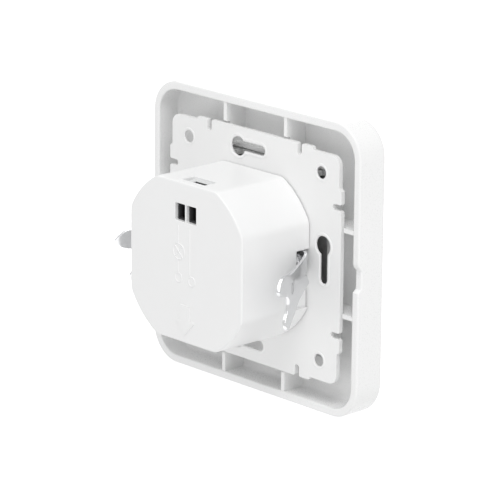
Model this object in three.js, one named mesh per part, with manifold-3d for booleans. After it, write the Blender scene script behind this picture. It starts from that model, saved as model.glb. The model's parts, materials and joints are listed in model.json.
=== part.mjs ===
// A flush-mounted metering switch for a round wall box: cover frame, push key, mounting plate with claws,
// and a deep rear housing that holds the boards and the push-in terminal.
// Millimetres. X points right as seen from the room, Y points into the wall, Z points up.
// The origin is the middle of the wall plane, on which the frame's rim and the mounting plate lie.
import * as THREE from "three";
import { mergeVertices } from "three/addons/utils/BufferGeometryUtils.js";
import Module from "manifold-3d";

const wasm = await Module();
wasm.setup();

// ---------- driving dimensions ----------
const gap = 0.3; // between pieces that rest on each other
const fit = 0.45; // around pieces that move or drop in

// cover frame
const frameHalf = 44.3;
const frameRadius = 10.35;
const frameDepth = 10.8;
const frameWall = 2.55;
const frameFront = 2.8; // thickness of the front panel
const frameFillet = 1.6;
const ribOffset = 12.9;
const ribThickness = 1.3;
const collarWall = 1.5;
const collarDepth = 3.5;
const pryNotchWidth = 6.8;
const pryNotchMiddle = -0.7;
const pryNotchDepth = 1.3;

// push key
const keyHalf = 27.3;
const keyRadius = 1.4;
const keyProud = 1.2; // how far the key stands in front of the frame
const keySkin = 2.0;
const keyDepth = 3.8;
const keyWall = 1.2;
const keyFillet = 1.0;
const keyPinRadius = 1.0;
const keyPinLength = 5;
const keyPinX = 19;
const keyPinReach = 1.3; // half the height of the lug that carries a pin
const keyPinY = -8.2;
const keyPinInset = 3.9; // from the key's top edge down to its pins
const lightPipeRadius = 1.25;
const lightPipeLength = 2.8;
const lightInset = 7.3; // from the key's bottom edge up to the light pipe
const keyStiffenerX = 9;
const keyStiffenerInset = 5.3; // from the key's edges to the ends of its stiffeners
const keyCoilRadius = 2.2;
const keyCoilWire = 0.25;
const keyCoilTurns = 4;
const keyCoilInset = 5.2; // of the key springs inside the chassis wall
const keyCoilClear = 1.61; // between a key spring and the screw head beside it

// mounting plate
const plateThickness = 1.5;
const plateMarginX = 4.95; // between the plate's side edges and the frame's wall
const plateMarginZ = 6.3; // the same above and below
const plateStep = 1.0; // the corners stand back from the middle stretches by this much
const plateStepStart = 24.6; // where the stepped corner begins, from the middle
const plateCorner = 3.0;
const edgeNotchMiddle = 19.3;
const edgeNotchWidth = 1.8;
const edgeNotchDepth = 3.6;
const cornerHole = 28.4;
const cornerHoleRadius = 1.9;
const slotRadius = 30; // fixing screws sit on a 60 mm circle
const slotWidth = 3.0;
const slotHeadRadius = 2.95;
const slotHeadShift = 0.4; // the wide end sits this much nearer the middle than the slot
const slotHeadOffset = 6.7; // from the middle of the slot to the wide end
const slotTail = 4.8; // from the middle of the slot to the narrow end
const plateWindowHalf = 15.5;

// rear housing
const housingRadius = 27.3;
const housingFlat = 3.15; // how deep each flat is cut into the round
const housingDepth = 27;
const housingWall = 1.6;
const housingFloor = 2.0;
const housingBevel = 0.7;
const windowHalf = 5.0;
const windowLength = 4.7;
const windowSill = 3.0; // wall left between the window and the housing's back

// claws and their screws
const clawScrewReach = 3.5; // from the claw's pivot out to its screw
const clawPivotY = 1.4;
const clawTilt = 10; // degrees between arm and plate at rest
const clawSpread = 24; // degrees between blade and housing at rest
const clawThickness = 1.0;
const clawStandoff = 1.82; // of the claw's bend from the housing's side
const clawArmTop = 4.6;
const clawArmBottom = -1.6;
const clawScrewInset = 3.15; // from the housing's side in to the claw screw
const clawScrewZ = 1.5;
const clawScrewRadius = 1.3;
const clawScrewHead = 2.75;
const clawScrewHeadHeight = 2.0;
const clawScrewTip = 7.6;
const recessBottom = -13.1;
const recessTop = 4.9;
const recessRear = 5.2;
const recessDepth = 1.9;
const bayWall = 1.1;

// front chassis and boards
const chassisInset = 0.1; // of the chassis wall inside the key's outline
const chassisWall = 1.5;
const chassisFloor = 1.6;
const chassisHeight = 4.5;
const boardThickness = 1.6;
const logicHalfX = 12.5;
const logicMargin = 4.6; // between the board's ends and the chassis outline
const logicBoardThickness = 1.2;
const logicStandoff = 1.2;
const powerBoardY = 10.0;
const powerBoardMargin = 1.15; // between the board's edge and the housing's wall
const housingScrewInset = 3.763; // from the housing's round in to its screws
const housingScrewAngle = 49.13; // degrees up from the X axis
const housingScrewRadius = 1.1;
const housingScrewHead = 2.3;
const housingScrewHeadHeight = 1.6;
const housingScrewTip = 7.4;
const screwBossRadius = 2.6;
const screwBossLength = 9.0;
const screwSlotHalf = 0.35;
const headerZ = -11.5;
const headerPins = 5;
const headerPitch = 2.54;
const headerPinHalf = 0.32;

// terminal
const wireHoleWidth = 4.3;
const wireHoleWeb = 0.5;
const wireHoleBottom = 12.5;
const wireHoleTop = 17.7;
const terminalWall = 1.85;
const terminalBottom = 8.8;
const channelLength = 12; // from the housing's back to the bottom of the wire channel
const contactThickness = 0.6;
const contactTailHalf = 0.6;
const contactMargin = 0.4; // of the contact strip inside the wire channel
const springMargin = 0.45; // of the leaf spring inside the wire channel
const springThickness = 0.35;
const releaseTravel = 1.5;
const releaseRecess = 0.75; // how far the bar lies below the housing's top face
const releaseHeight = 3.1;
const tongueHalf = 1.5;

// switch
const switchZ = 12.2;
const switchHalf = 3.0;
const switchHeight = 2.3;
const plungerRadius = 1.6;
const plungerProud = 0.7;

// ---------- values worked out from the driving dimensions ----------
const plateHalfX = frameHalf - frameWall - plateMarginX;
const plateHalfZ = frameHalf - frameWall - plateMarginZ;
const keyPinZ = keyHalf - keyPinInset;
const lightZ = lightInset - keyHalf;
const chassisHalf = keyHalf - chassisInset;
const chassisInner = chassisHalf - chassisWall;
const logicHalfZ = chassisHalf - logicMargin;
const housingHalf = housingRadius - housingFlat;
const clawScrewX = housingHalf - clawScrewInset;
const clawPivotX = clawScrewX - clawScrewReach;
const clawArmReach = (housingHalf + clawStandoff - clawPivotX) / Math.cos(THREE.MathUtils.degToRad(clawTilt));
const screwAngle = THREE.MathUtils.degToRad(housingScrewAngle);
const housingScrewX = (housingRadius - housingScrewInset) * Math.cos(screwAngle);
const housingScrewZ = (housingRadius - housingScrewInset) * Math.sin(screwAngle);
const keySpringX = chassisInner - keyCoilInset;
const keySpringReach = housingScrewHead + keyCoilRadius + keyCoilWire + keyCoilClear;
const keySpringAcross = Math.min(Math.abs(keySpringX - housingScrewX), keySpringReach);
const keySpringZ = Math.sqrt(keySpringReach ** 2 - keySpringAcross ** 2) - housingScrewZ;
const windowRearY = housingDepth - windowSill;
const windowFrontY = windowRearY - windowLength;
const channelEnd = housingDepth - channelLength;
const powerBoardHalf = housingHalf - housingWall - powerBoardMargin;
const powerBoardRadius = housingRadius - housingWall - powerBoardMargin;
const frameFrontY = -frameDepth;
const frameFloorY = frameFrontY + frameFront;
const keyFrontY = frameFrontY - keyProud;
const keyUnderY = keyFrontY + keySkin;
const plateFrontY = -plateThickness;
const chassisRearY = plateFrontY - gap;
const chassisFloorY = chassisRearY - chassisFloor;
const logicRearY = chassisFloorY - logicStandoff;
const logicFrontY = logicRearY - logicBoardThickness;
const plungerTopY = logicFrontY - gap - switchHeight - plungerProud;
const screwSeatY = chassisFloorY - gap;
const headRoomY = screwSeatY - clawScrewHeadHeight - fit;
const housingFrontY = gap;
const housingInnerY = housingDepth - housingFloor;
const powerRearY = powerBoardY + boardThickness;
const wireX = (wireHoleWeb + wireHoleWidth) / 2;
const contactWidth = wireHoleWidth - 2 * contactMargin;
const springWidth = wireHoleWidth - 2 * springMargin;
const headerHalf = (headerPins * headerPitch) / 2 + 0.25;
const terminalHalfX = wireX + wireHoleWidth / 2 + terminalWall;
const terminalTop = housingHalf - housingWall - gap;
const terminalRearY = housingInnerY - gap;
const releaseTop = housingHalf - releaseRecess;
const releaseFootZ = releaseTop - releaseHeight - releaseTravel - gap;

// ---------- materials ----------
function finish(color, roughness, metalness) {
  return new THREE.MeshStandardMaterial({ color, roughness, metalness });
}
const plastic = (color, roughness) => finish(color, roughness, 0);
const metal = (color, roughness) => finish(color, roughness, 1);
const white = plastic(0xf2f2f1, 0.38);
const plateWhite = plastic(0xededec, 0.45);
const paleGrey = plastic(0xc9cbcc, 0.45);
const darkPlastic = plastic(0x1d1e20, 0.5);
const clear = plastic(0xdfe8ec, 0.12);
const zinc = metal(0xc9ccd0, 0.25);
const steel = metal(0x9da2a8, 0.35);
const copper = metal(0xc98a5c, 0.35);
const aluminium = metal(0xb9bdc2, 0.4);
const boardGreen = plastic(0x1f5a3a, 0.5);
const ferrite = plastic(0x3a3b3d, 0.6);
const capacitorSleeve = plastic(0x23304f, 0.35);
const filmBlock = plastic(0xd6c34a, 0.4);
const varistorBlue = plastic(0x2f62a8, 0.4);
const ceramic = plastic(0xe4ddcb, 0.5);

// ---------- helpers ----------
// A closed geometry as a solid.
function solidOf(geometry) {
  const bare = geometry.index ? geometry.toNonIndexed() : geometry.clone();
  bare.deleteAttribute("normal");
  bare.deleteAttribute("uv");
  const merged = mergeVertices(bare, 1e-4);
  return new wasm.Manifold(new wasm.Mesh({
    numProp: 3,
    vertProperties: new Float32Array(merged.attributes.position.array),
    triVerts: new Uint32Array(merged.index.array),
  }));
}

function geometryOf(solid) {
  const mesh = solid.getMesh();
  const geometry = new THREE.BufferGeometry();
  geometry.setAttribute("position", new THREE.BufferAttribute(new Float32Array(mesh.vertProperties), 3));
  geometry.setIndex(new THREE.BufferAttribute(new Uint32Array(mesh.triVerts), 1));
  geometry.computeVertexNormals();
  return geometry;
}

const joined = (first, ...rest) => rest.reduce((whole, piece) => whole.add(piece), first);
const cut = (body, ...tools) => tools.reduce((left, tool) => left.subtract(tool), body);

// A block between two corners, whose order doesn't matter.
function block(x, y, z) {
  const size = (range) => Math.abs(range[1] - range[0]);
  const middle = (range) => (range[0] + range[1]) / 2;
  const geometry = new THREE.BoxGeometry(size(x), size(y), size(z));
  return solidOf(geometry.translate(middle(x), middle(y), middle(z)));
}

// A shape drawn in X and Z, carried along Y.
function slab(shape, y0, y1, curveSegments = 6) {
  const geometry = new THREE.ExtrudeGeometry(shape, { depth: y1 - y0, bevelEnabled: false, curveSegments });
  return solidOf(geometry.rotateX(Math.PI / 2).translate(0, y1, 0));
}

// A round rod along Y.
function rodY(x, z, radius, y0, y1, segments = 20) {
  const geometry = new THREE.CylinderGeometry(radius, radius, Math.abs(y1 - y0), segments);
  return solidOf(geometry.translate(x, (y0 + y1) / 2, z));
}

// A round rod along X.
function rodX(y, z, radius, x0, x1, segments = 16) {
  const geometry = new THREE.CylinderGeometry(radius, radius, Math.abs(x1 - x0), segments);
  return solidOf(geometry.rotateZ(Math.PI / 2).translate((x0 + x1) / 2, y, z));
}

// A rounded rectangle about the origin, inset all round by an amount.
function roundedOutline(halfX, halfZ, radius, inset = 0, segments = 7) {
  const points = [];
  const arc = Math.max(radius - inset, 0.05);
  const corners = [[1, 1, 0], [-1, 1, 90], [-1, -1, 180], [1, -1, 270]];
  for (const [signX, signZ, start] of corners) {
    for (let i = 0; i <= segments; i += 1) {
      const angle = THREE.MathUtils.degToRad(start + (90 * i) / segments);
      points.push(new THREE.Vector2(
        signX * (halfX - radius) + arc * Math.cos(angle),
        signZ * (halfZ - radius) + arc * Math.sin(angle),
      ));
    }
  }
  return points;
}

// The outline of the rear housing: a circle cut by four flats.
function truncatedOutline(half, radius, inset = 0, segments = 8) {
  const flat = half - inset;
  const round = radius - inset;
  const start = Math.acos(flat / round);
  const sweep = Math.PI / 2 - 2 * start;
  const points = [];
  for (let quarter = 0; quarter < 4; quarter += 1) {
    for (let i = 0; i <= segments; i += 1) {
      const angle = (quarter * Math.PI) / 2 + start + (sweep * i) / segments;
      points.push(new THREE.Vector2(round * Math.cos(angle), round * Math.sin(angle)));
    }
  }
  return points;
}

// A closed solid through rings of equal length, each a 2D outline placed at its Y. Y grows from ring to ring.
function loft(rings) {
  const count = rings[0].outline.length;
  const positions = [];
  const indices = [];
  for (const { outline, y } of rings) for (const point of outline) positions.push(point.x, y, point.y);
  for (let ring = 0; ring + 1 < rings.length; ring += 1) {
    for (let i = 0; i < count; i += 1) {
      const a = ring * count + i;
      const b = ring * count + ((i + 1) % count);
      indices.push(a, a + count, b, b, a + count, b + count);
    }
  }
  const capOf = (ring) => THREE.ShapeUtils.triangulateShape(rings[ring].outline, []);
  const last = rings.length - 1;
  for (const [a, b, c] of capOf(0)) indices.push(a, b, c);
  for (const [a, b, c] of capOf(last)) indices.push(last * count + a, last * count + c, last * count + b);
  const geometry = new THREE.BufferGeometry();
  geometry.setAttribute("position", new THREE.Float32BufferAttribute(positions, 3));
  geometry.setIndex(indices);
  return solidOf(geometry);
}

const shapeOf = (points) => new THREE.Shape(points);

// A prism with a rounded-rectangle section along Y.
function roundedSlab(halfX, halfZ, radius, y0, y1, segments = 7) {
  return slab(shapeOf(roundedOutline(halfX, halfZ, radius, 0, segments)), y0, y1);
}

// A flat strip of one width, bent along a path in Y and Z, centred on x.
function bentStrip(path, thickness, width, x) {
  const left = [];
  const right = [];
  path.forEach((point, i) => {
    const before = path[Math.max(i - 1, 0)];
    const after = path[Math.min(i + 1, path.length - 1)];
    const along = new THREE.Vector2().subVectors(after, before).normalize();
    const across = new THREE.Vector2(-along.y, along.x).multiplyScalar(thickness / 2);
    left.push(point.clone().add(across));
    right.push(point.clone().sub(across));
  });
  const section = new THREE.Shape([...right, ...left.reverse()]);
  const geometry = new THREE.ExtrudeGeometry(section, { depth: width, bevelEnabled: false });
  // The section's axes become Y and Z, and its depth runs along X.
  const axes = new THREE.Matrix4().makeBasis(
    new THREE.Vector3(0, 1, 0), new THREE.Vector3(0, 0, 1), new THREE.Vector3(1, 0, 0),
  );
  return solidOf(geometry.applyMatrix4(axes).translate(x - width / 2, 0, 0));
}

const root = new THREE.Group();

// Adds a solid to the object as a named mesh; side -1 gives its mirror image.
function place(name, solid, material, side = 1) {
  const mesh = new THREE.Mesh(geometryOf(solid), material);
  mesh.name = name;
  mesh.scale.x = side;
  root.add(mesh);
}

const sides = [["right", 1], ["left", -1]];

// ---------- cover frame ----------
function coverFrame() {
  const outline = (inset) => roundedOutline(frameHalf, frameHalf, frameRadius, inset);
  const filletSteps = 4;
  const rings = [];
  for (let i = 0; i <= filletSteps; i += 1) {
    const angle = (i / filletSteps) * (Math.PI / 2);
    rings.push({
      outline: outline(frameFillet * (1 - Math.sin(angle))),
      y: frameFrontY + frameFillet * (1 - Math.cos(angle)),
    });
  }
  const rimBevel = 0.35;
  rings.push({ outline: outline(0), y: -rimBevel }, { outline: outline(rimBevel), y: 0 });
  const wellHalf = frameHalf - frameWall;
  const well = roundedSlab(wellHalf, wellHalf, frameRadius - frameWall, frameFloorY, 1);
  const openingHalf = keyHalf + fit;
  const collarHalf = openingHalf + collarWall;
  const collar = roundedSlab(
    collarHalf, collarHalf, keyRadius + fit + collarWall, frameFloorY - 1, frameFloorY + collarDepth, 4,
  );
  const opening = roundedSlab(openingHalf, openingHalf, keyRadius + fit, frameFrontY - 1, 1, 4);
  const body = joined(cut(loft(rings), well), collar, ...frameRibs(wellHalf, collarHalf));
  const notch = block(
    [-frameHalf - 1, -wellHalf + 1], [-pryNotchDepth, 1],
    [pryNotchMiddle - pryNotchWidth / 2, pryNotchMiddle + pryNotchWidth / 2],
  );
  const headRooms = clawScrewRods(clawScrewHead + fit, headRoomY, 1);
  place("cover_frame", cut(body, opening, notch, ...headRooms), white);
}

// Two ribs a side. Under the plate they reach in to the collar; beside it they rise to the rim.
function frameRibs(wellHalf, collarHalf) {
  const ribs = [];
  const outer = wellHalf + 0.5;
  const underPlate = plateFrontY - fit;
  const halfRib = ribThickness / 2;
  for (const middle of [ribOffset, -ribOffset]) {
    const across = [middle - halfRib, middle + halfRib];
    for (const sign of [1, -1]) {
      const inner = sign * (collarHalf - 0.5);
      ribs.push(
        block([inner, sign * outer], [frameFloorY - 0.5, underPlate], across),
        block(across, [frameFloorY - 0.5, underPlate], [inner, sign * outer]),
        block([sign * (plateHalfX + fit), sign * outer], [underPlate - 0.1, -0.4], across),
        block(across, [underPlate - 0.1, -0.4], [sign * (plateHalfZ + fit), sign * outer]),
      );
    }
  }
  return ribs;
}

// ---------- push key ----------
function pushKey() {
  const outline = (inset) => roundedOutline(keyHalf, keyHalf, keyRadius, inset, 4);
  const filletSteps = 3;
  const rings = [];
  for (let i = 0; i <= filletSteps; i += 1) {
    const angle = (i / filletSteps) * (Math.PI / 2);
    rings.push({
      outline: outline(keyFillet * (1 - Math.sin(angle))),
      y: keyFrontY + keyFillet * (1 - Math.cos(angle)),
    });
  }
  rings.push({ outline: outline(0), y: keyFrontY + keyDepth });
  const inside = roundedSlab(keyHalf - keyWall, keyHalf - keyWall, 0.6, keyUnderY, 0, 2);
  const lugHalf = 1.0;
  const lugs = sides.flatMap(([, sign]) => {
    const x = sign * keyPinX;
    return [
      block([x - lugHalf, x + lugHalf], [keyUnderY - 0.5, keyPinY + 0.8],
        [keyPinZ - keyPinReach, keyPinZ + keyPinReach]),
      rodX(keyPinY, keyPinZ, keyPinRadius, x - keyPinLength / 2, x + keyPinLength / 2, 12),
    ];
  });
  const pusher = rodY(0, switchZ, 1.4, keyUnderY - 0.5, plungerTopY - gap, 16);
  const stiffenerEnd = keyHalf - keyStiffenerInset;
  const stiffeners = [-keyStiffenerX, keyStiffenerX].map((x) => block(
    [x - 0.5, x + 0.5], [keyUnderY - 0.4, keyUnderY + 0.8], [-stiffenerEnd, stiffenerEnd - 1],
  ));
  const lightHole = rodY(0, lightZ, lightPipeRadius + gap, keyFrontY - 1, keyUnderY + 1, 20);
  place("push_key", cut(joined(cut(loft(rings), inside), ...lugs, pusher, ...stiffeners), lightHole), white);
}

function lightPipe() {
  const lens = rodY(0, lightZ, lightPipeRadius, keyFrontY + 0.1, keyFrontY + 0.1 + lightPipeLength, 20);
  place("light_pipe", lens, clear);
}

// One coil spring below each claw screw, between chassis floor and key.
function keySprings() {
  const from = chassisFloorY - gap - keyCoilWire;
  const to = keyUnderY + gap + keyCoilWire;
  class Coil extends THREE.Curve {
    getPoint(t, target = new THREE.Vector3()) {
      const angle = 2 * Math.PI * keyCoilTurns * t;
      return target.set(
        keySpringX + keyCoilRadius * Math.cos(angle), from + (to - from) * t,
        keySpringZ + keyCoilRadius * Math.sin(angle),
      );
    }
  }
  const round = new THREE.Shape().absarc(0, 0, keyCoilWire, 0, 2 * Math.PI);
  const geometry = new THREE.ExtrudeGeometry(round, {
    extrudePath: new Coil(), steps: keyCoilTurns * 14, curveSegments: 3, bevelEnabled: false,
  });
  for (const [name, sign] of sides) place(`key_spring_${name}`, solidOf(geometry), steel, sign);
}

// ---------- front chassis ----------
function frontChassis() {
  const rimY = chassisRearY - chassisHeight;
  const tray = roundedSlab(chassisHalf, chassisHalf, keyRadius, rimY, chassisRearY, 4);
  const hollow = roundedSlab(chassisInner, chassisInner, 0.8, rimY - 1, chassisFloorY, 2);
  const headerWindow = block([-headerHalf - 0.8, headerHalf + 0.8], [-10, 1], [headerZ - 2.2, headerZ + 2.2]);
  const clawHoles = clawScrewRods(clawScrewRadius + fit, -10, 1);
  const screwHoles = fourScrews((x, z) => rodY(x, z, housingScrewRadius + gap, -10, 1, 14));
  const standoffs = fourOf(logicHalfX - 1.8, logicHalfZ - 1.8,
    (x, z) => rodY(x, z, 1.4, logicRearY + gap, chassisFloorY + 0.4, 12));
  const body = joined(cut(tray, hollow), ...standoffs, ...hingePosts());
  const headRooms = [
    ...clawScrewRods(clawScrewHead + fit, -10, screwSeatY),
    ...fourScrews((x, z) => rodY(x, z, housingScrewHead + fit, headRoomY, screwSeatY)),
  ];
  place("front_chassis", cut(body, headerWindow, ...clawHoles, ...screwHoles, ...headRooms), white);
}

// A rod on the axis of each claw screw, for its holes and for the room that its head needs.
function clawScrewRods(radius, y0, y1) {
  return sides.map(([, sign]) => rodY(sign * clawScrewX, clawScrewZ, radius, y0, y1));
}

const fourOf = (x, z, make) => [make(x, z), make(-x, z), make(x, -z), make(-x, -z)];
const fourScrews = (make) => fourOf(housingScrewX, housingScrewZ, make);

// Each key pin lies in an open fork on both sides of its lug.
function hingePosts() {
  const reach = keyPinRadius + gap;
  const forkTop = keyPinY - 0.2;
  return sides.flatMap(([, sign]) => [-1, 1].map((step) => {
    const near = sign * keyPinX + step * 1.35;
    const far = sign * keyPinX + step * 2.35;
    const post = block([near, far], [chassisFloorY + 0.4, forkTop], [keyPinZ - 2.2, chassisInner]);
    const bore = rodX(keyPinY, keyPinZ, reach, near - 2, far + 2, 16);
    const mouth = block([near - 2, far + 2], [keyPinY, forkTop - 3], [keyPinZ - reach, keyPinZ + reach]);
    return cut(post, bore, mouth);
  }));
}

// ---------- mounting plate ----------
function plateOutline() {
  // One quarter of a side: from its middle to the corner, as distances along and out from the middle.
  const halfNotch = edgeNotchWidth / 2;
  const stretch = (half, otherHalf) => [
    [edgeNotchMiddle - halfNotch, half],
    [edgeNotchMiddle - halfNotch, half - edgeNotchDepth],
    [edgeNotchMiddle + halfNotch, half - edgeNotchDepth],
    [edgeNotchMiddle + halfNotch, half],
    [plateStepStart, half],
    [plateStepStart, half - plateStep],
    [otherHalf - plateStep - plateCorner, half - plateStep],
  ];
  const right = stretch(plateHalfX, plateHalfZ).map(([along, out]) => [out, along]);
  const top = stretch(plateHalfZ, plateHalfX).reverse();
  const corner = [];
  const cornerSteps = 5;
  for (let i = 1; i < cornerSteps; i += 1) {
    const angle = (i / cornerSteps) * (Math.PI / 2);
    corner.push([
      plateHalfX - plateStep - plateCorner * (1 - Math.cos(angle)),
      plateHalfZ - plateStep - plateCorner * (1 - Math.sin(angle)),
    ]);
  }
  const quarter = [...right, ...corner, ...top];
  const shape = [];
  const turned = (signX, signZ, points) => points.map(([x, z]) => new THREE.Vector2(signX * x, signZ * z));
  shape.push(...turned(1, 1, quarter), ...turned(-1, 1, [...quarter].reverse()));
  shape.push(...turned(-1, -1, quarter), ...turned(1, -1, [...quarter].reverse()));
  return shape;
}

// A keyhole: a narrow slot with a wide round end, drawn for the side that a turn brings it to.
function keyholes() {
  const tools = [];
  const y0 = plateFrontY - 1;
  const half = slotWidth / 2;
  const tail = half - slotTail;
  for (const sign of [1, -1]) {
    const across = [sign * slotRadius - half, sign * slotRadius + half];
    const head = sign * (slotRadius - slotHeadShift);
    tools.push(
      block([tail, slotHeadOffset], [y0, 1], across),
      rodY(tail, sign * slotRadius, half, y0, 1, 16),
      rodY(slotHeadOffset, head, slotHeadRadius, y0, 1, 24),
      block(across, [y0, 1], [tail, slotHeadOffset]),
      rodY(sign * slotRadius, tail, half, y0, 1, 16),
      rodY(head, slotHeadOffset, slotHeadRadius, y0, 1, 24),
    );
  }
  return tools;
}

function mountingPlate() {
  const y0 = plateFrontY - 1;
  const sheet = slab(shapeOf(plateOutline()), plateFrontY, 0);
  const centre = roundedSlab(plateWindowHalf, plateWindowHalf, 3, y0, 1, 4);
  const corners = fourOf(cornerHole, cornerHole, (x, z) => rodY(x, z, cornerHoleRadius, y0, 1, 20));
  const clawHoles = clawScrewRods(clawScrewRadius + fit, y0, 1);
  const screwHoles = fourScrews((x, z) => rodY(x, z, housingScrewRadius + gap, y0, 1, 14));
  const holes = [centre, ...corners, ...keyholes(), ...clawHoles, ...screwHoles];
  place("mounting_plate", cut(sheet, ...holes), plateWhite);
}

// ---------- rear housing ----------
function rearHousing() {
  const outer = loft([
    { outline: truncatedOutline(housingHalf, housingRadius), y: housingFrontY },
    { outline: truncatedOutline(housingHalf, housingRadius), y: housingDepth - housingBevel },
    { outline: truncatedOutline(housingHalf, housingRadius, housingBevel), y: housingDepth },
  ]);
  const inside = slab(shapeOf(truncatedOutline(housingHalf, housingRadius, housingWall)), -1, housingInnerY);
  const bosses = fourScrews((x, z) => rodY(x, z, screwBossRadius, housingFrontY, screwBossLength, 16));
  const bossBores = fourScrews((x, z) => rodY(x, z, housingScrewRadius + gap, -1, housingScrewTip + gap, 14));
  const window = block(
    [-windowHalf, windowHalf], [windowFrontY, windowRearY], [housingHalf - housingWall - 1, housingHalf + 1],
  );
  const wireHoles = sides.map(([, sign]) => wireChannel(sign, housingInnerY - 1, housingDepth + 1));
  // Each claw works in a bay of its own, walled off from the boards.
  const bays = sides.map(([, sign]) => clawBay(sign));
  let body = joined(cut(outer, inside), ...bosses, ...bays.flatMap((bay) => bay.walls));
  body = body.intersect(outer);
  const hollows = [...bossBores, window, ...wireHoles, ...bays.flatMap((bay) => bay.hollows)];
  place("rear_housing", cut(body, ...hollows), white);
}

function clawBay(sign) {
  const innerX = clawPivotX - clawThickness / 2 - fit;
  const out = housingHalf + 1;
  const recessX = housingHalf - recessDepth;
  const bayTop = clawArmTop + fit;
  const bayBottom = clawArmBottom - fit;
  const span = (a, b) => [sign * a, sign * b];
  const walls = [
    block(span(innerX - bayWall, housingHalf - 0.2), [housingFrontY, clawScrewTip + fit + bayWall],
      [bayBottom - bayWall, bayTop + bayWall]),
    block(span(recessX - bayWall, housingHalf - 0.2), [housingFrontY, recessRear + bayWall],
      [recessBottom - bayWall, bayBottom]),
  ];
  const hollows = [
    block(span(innerX, out), [-1, recessRear], [bayBottom, bayTop]),
    block(span(recessX, out), [-1, recessRear], [recessBottom, recessTop]),
    rodY(sign * clawScrewX, clawScrewZ, clawScrewRadius + fit, -1, clawScrewTip + fit),
  ];
  return { walls, hollows };
}

function wireChannel(sign, y0, y1) {
  const half = wireHoleWidth / 2;
  return block([sign * (wireX - half), sign * (wireX + half)], [y0, y1], [wireHoleBottom, wireHoleTop]);
}

// ---------- claws ----------
// The blade, drawn in its own plane: across is the distance from its front edge line, up is height.
function clawBladeShape() {
  const shape = new THREE.Shape();
  shape.moveTo(1.1, -5.0);
  shape.quadraticCurveTo(1.8, -3.2, 1.7, -1.0);
  shape.lineTo(1.3, clawArmTop - 0.8);
  shape.quadraticCurveTo(1.4, clawArmTop, 2.8, clawArmTop);
  shape.quadraticCurveTo(4.4, 3.2, 8.6, 2.5);
  shape.quadraticCurveTo(14.0, 1.2, 17.0, 1.6);
  shape.quadraticCurveTo(20.6, 2.5, 22.4, 0.9);
  shape.lineTo(24.6, -1.6);
  shape.quadraticCurveTo(23.6, -3.4, 20.4, -3.9);
  shape.quadraticCurveTo(16.2, -4.0, 16.4, -7.0);
  shape.quadraticCurveTo(17.0, -9.0, 19.0, -10.8);
  shape.lineTo(20.2, -13.0);
  shape.quadraticCurveTo(19.0, -14.9, 16.4, -14.3);
  shape.quadraticCurveTo(12.6, -12.2, 10.6, -9.4);
  shape.quadraticCurveTo(7.4, -7.0, 1.1, -5.0);
  return shape;
}

function claws() {
  const spread = THREE.MathUtils.degToRad(clawSpread);
  const tilt = THREE.MathUtils.degToRad(clawTilt);
  const bend = new THREE.Vector3(
    clawPivotX + clawArmReach * Math.cos(tilt), clawPivotY + clawArmReach * Math.sin(tilt), 0,
  );
  const along = new THREE.Vector3(Math.sin(spread), Math.cos(spread), 0);
  const up = new THREE.Vector3(0, 0, 1);
  const outward = new THREE.Vector3(Math.cos(spread), -Math.sin(spread), 0);
  const bendAcross = 2.0; // the arm joins the blade this far behind the blade's front edge line
  const corner = bend.clone()
    .addScaledVector(along, -bendAcross)
    .addScaledVector(outward, -clawThickness / 2);
  const flat = new THREE.ExtrudeGeometry(clawBladeShape(), {
    depth: clawThickness, bevelEnabled: false, curveSegments: 4,
  });
  const bladeFrame = new THREE.Matrix4().makeBasis(along, up, outward).setPosition(corner);
  const blade = solidOf(flat.applyMatrix4(bladeFrame));
  const armAlong = new THREE.Vector3(Math.cos(tilt), Math.sin(tilt), 0);
  const armAcross = new THREE.Vector3(Math.sin(tilt), -Math.cos(tilt), 0);
  const middle = (clawArmTop + clawArmBottom) / 2;
  const armLength = clawArmReach + 0.2;
  const armBox = new THREE.BoxGeometry(armLength, clawArmTop - clawArmBottom, clawThickness)
    .translate(armLength / 2 - clawThickness / 2, 0, 0);
  const armFrame = new THREE.Matrix4().makeBasis(armAlong, up, armAcross)
    .setPosition(clawPivotX, clawPivotY, middle);
  const arm = solidOf(armBox.applyMatrix4(armFrame));
  const slotHalf = clawScrewRadius + fit;
  const slotStretch = 0.55;
  const slot = joined(
    rodY(clawScrewX - slotStretch, clawScrewZ, slotHalf, -2, 9),
    rodY(clawScrewX + slotStretch, clawScrewZ, slotHalf, -2, 9),
    block([clawScrewX - slotStretch, clawScrewX + slotStretch], [-2, 9],
      [clawScrewZ - slotHalf, clawScrewZ + slotHalf]),
  );
  const claw = joined(blade, cut(arm, slot));
  for (const [name, sign] of sides) place(`claw_${name}`, claw, zinc, sign);
}

// ---------- screws ----------
// A pan-head screw along Y with a straight slot; its head faces the room.
function slottedScrew(x, z, shank, head, headHeight, seatY, tipY) {
  const headFront = seatY - headHeight;
  const pointLength = 0.8;
  const slot = block(
    [x - head - 1, x + head + 1], [headFront - 1, headFront + headHeight * 0.45],
    [z - screwSlotHalf, z + screwSlotHalf],
  );
  const point = new THREE.CylinderGeometry(shank, shank * 0.5, pointLength, 16)
    .rotateX(Math.PI).translate(x, tipY - pointLength / 2, z);
  return cut(joined(
    rodY(x, z, head, headFront, seatY, 24),
    rodY(x, z, shank, seatY - 0.2, tipY - pointLength, 16),
    solidOf(point),
  ), slot);
}

function clawScrews() {
  const screw = slottedScrew(
    clawScrewX, clawScrewZ, clawScrewRadius, clawScrewHead, clawScrewHeadHeight, screwSeatY, clawScrewTip,
  );
  for (const [name, sign] of sides) place(`claw_screw_${name}`, screw, zinc, sign);
}

function housingScrews() {
  const places = [["upper", 1], ["lower", -1]];
  for (const [level, signZ] of places) {
    for (const [name, signX] of sides) {
      place(`housing_screw_${level}_${name}`, slottedScrew(
        signX * housingScrewX, signZ * housingScrewZ, housingScrewRadius, housingScrewHead,
        housingScrewHeadHeight, screwSeatY, housingScrewTip,
      ), steel);
    }
  }
}

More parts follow.
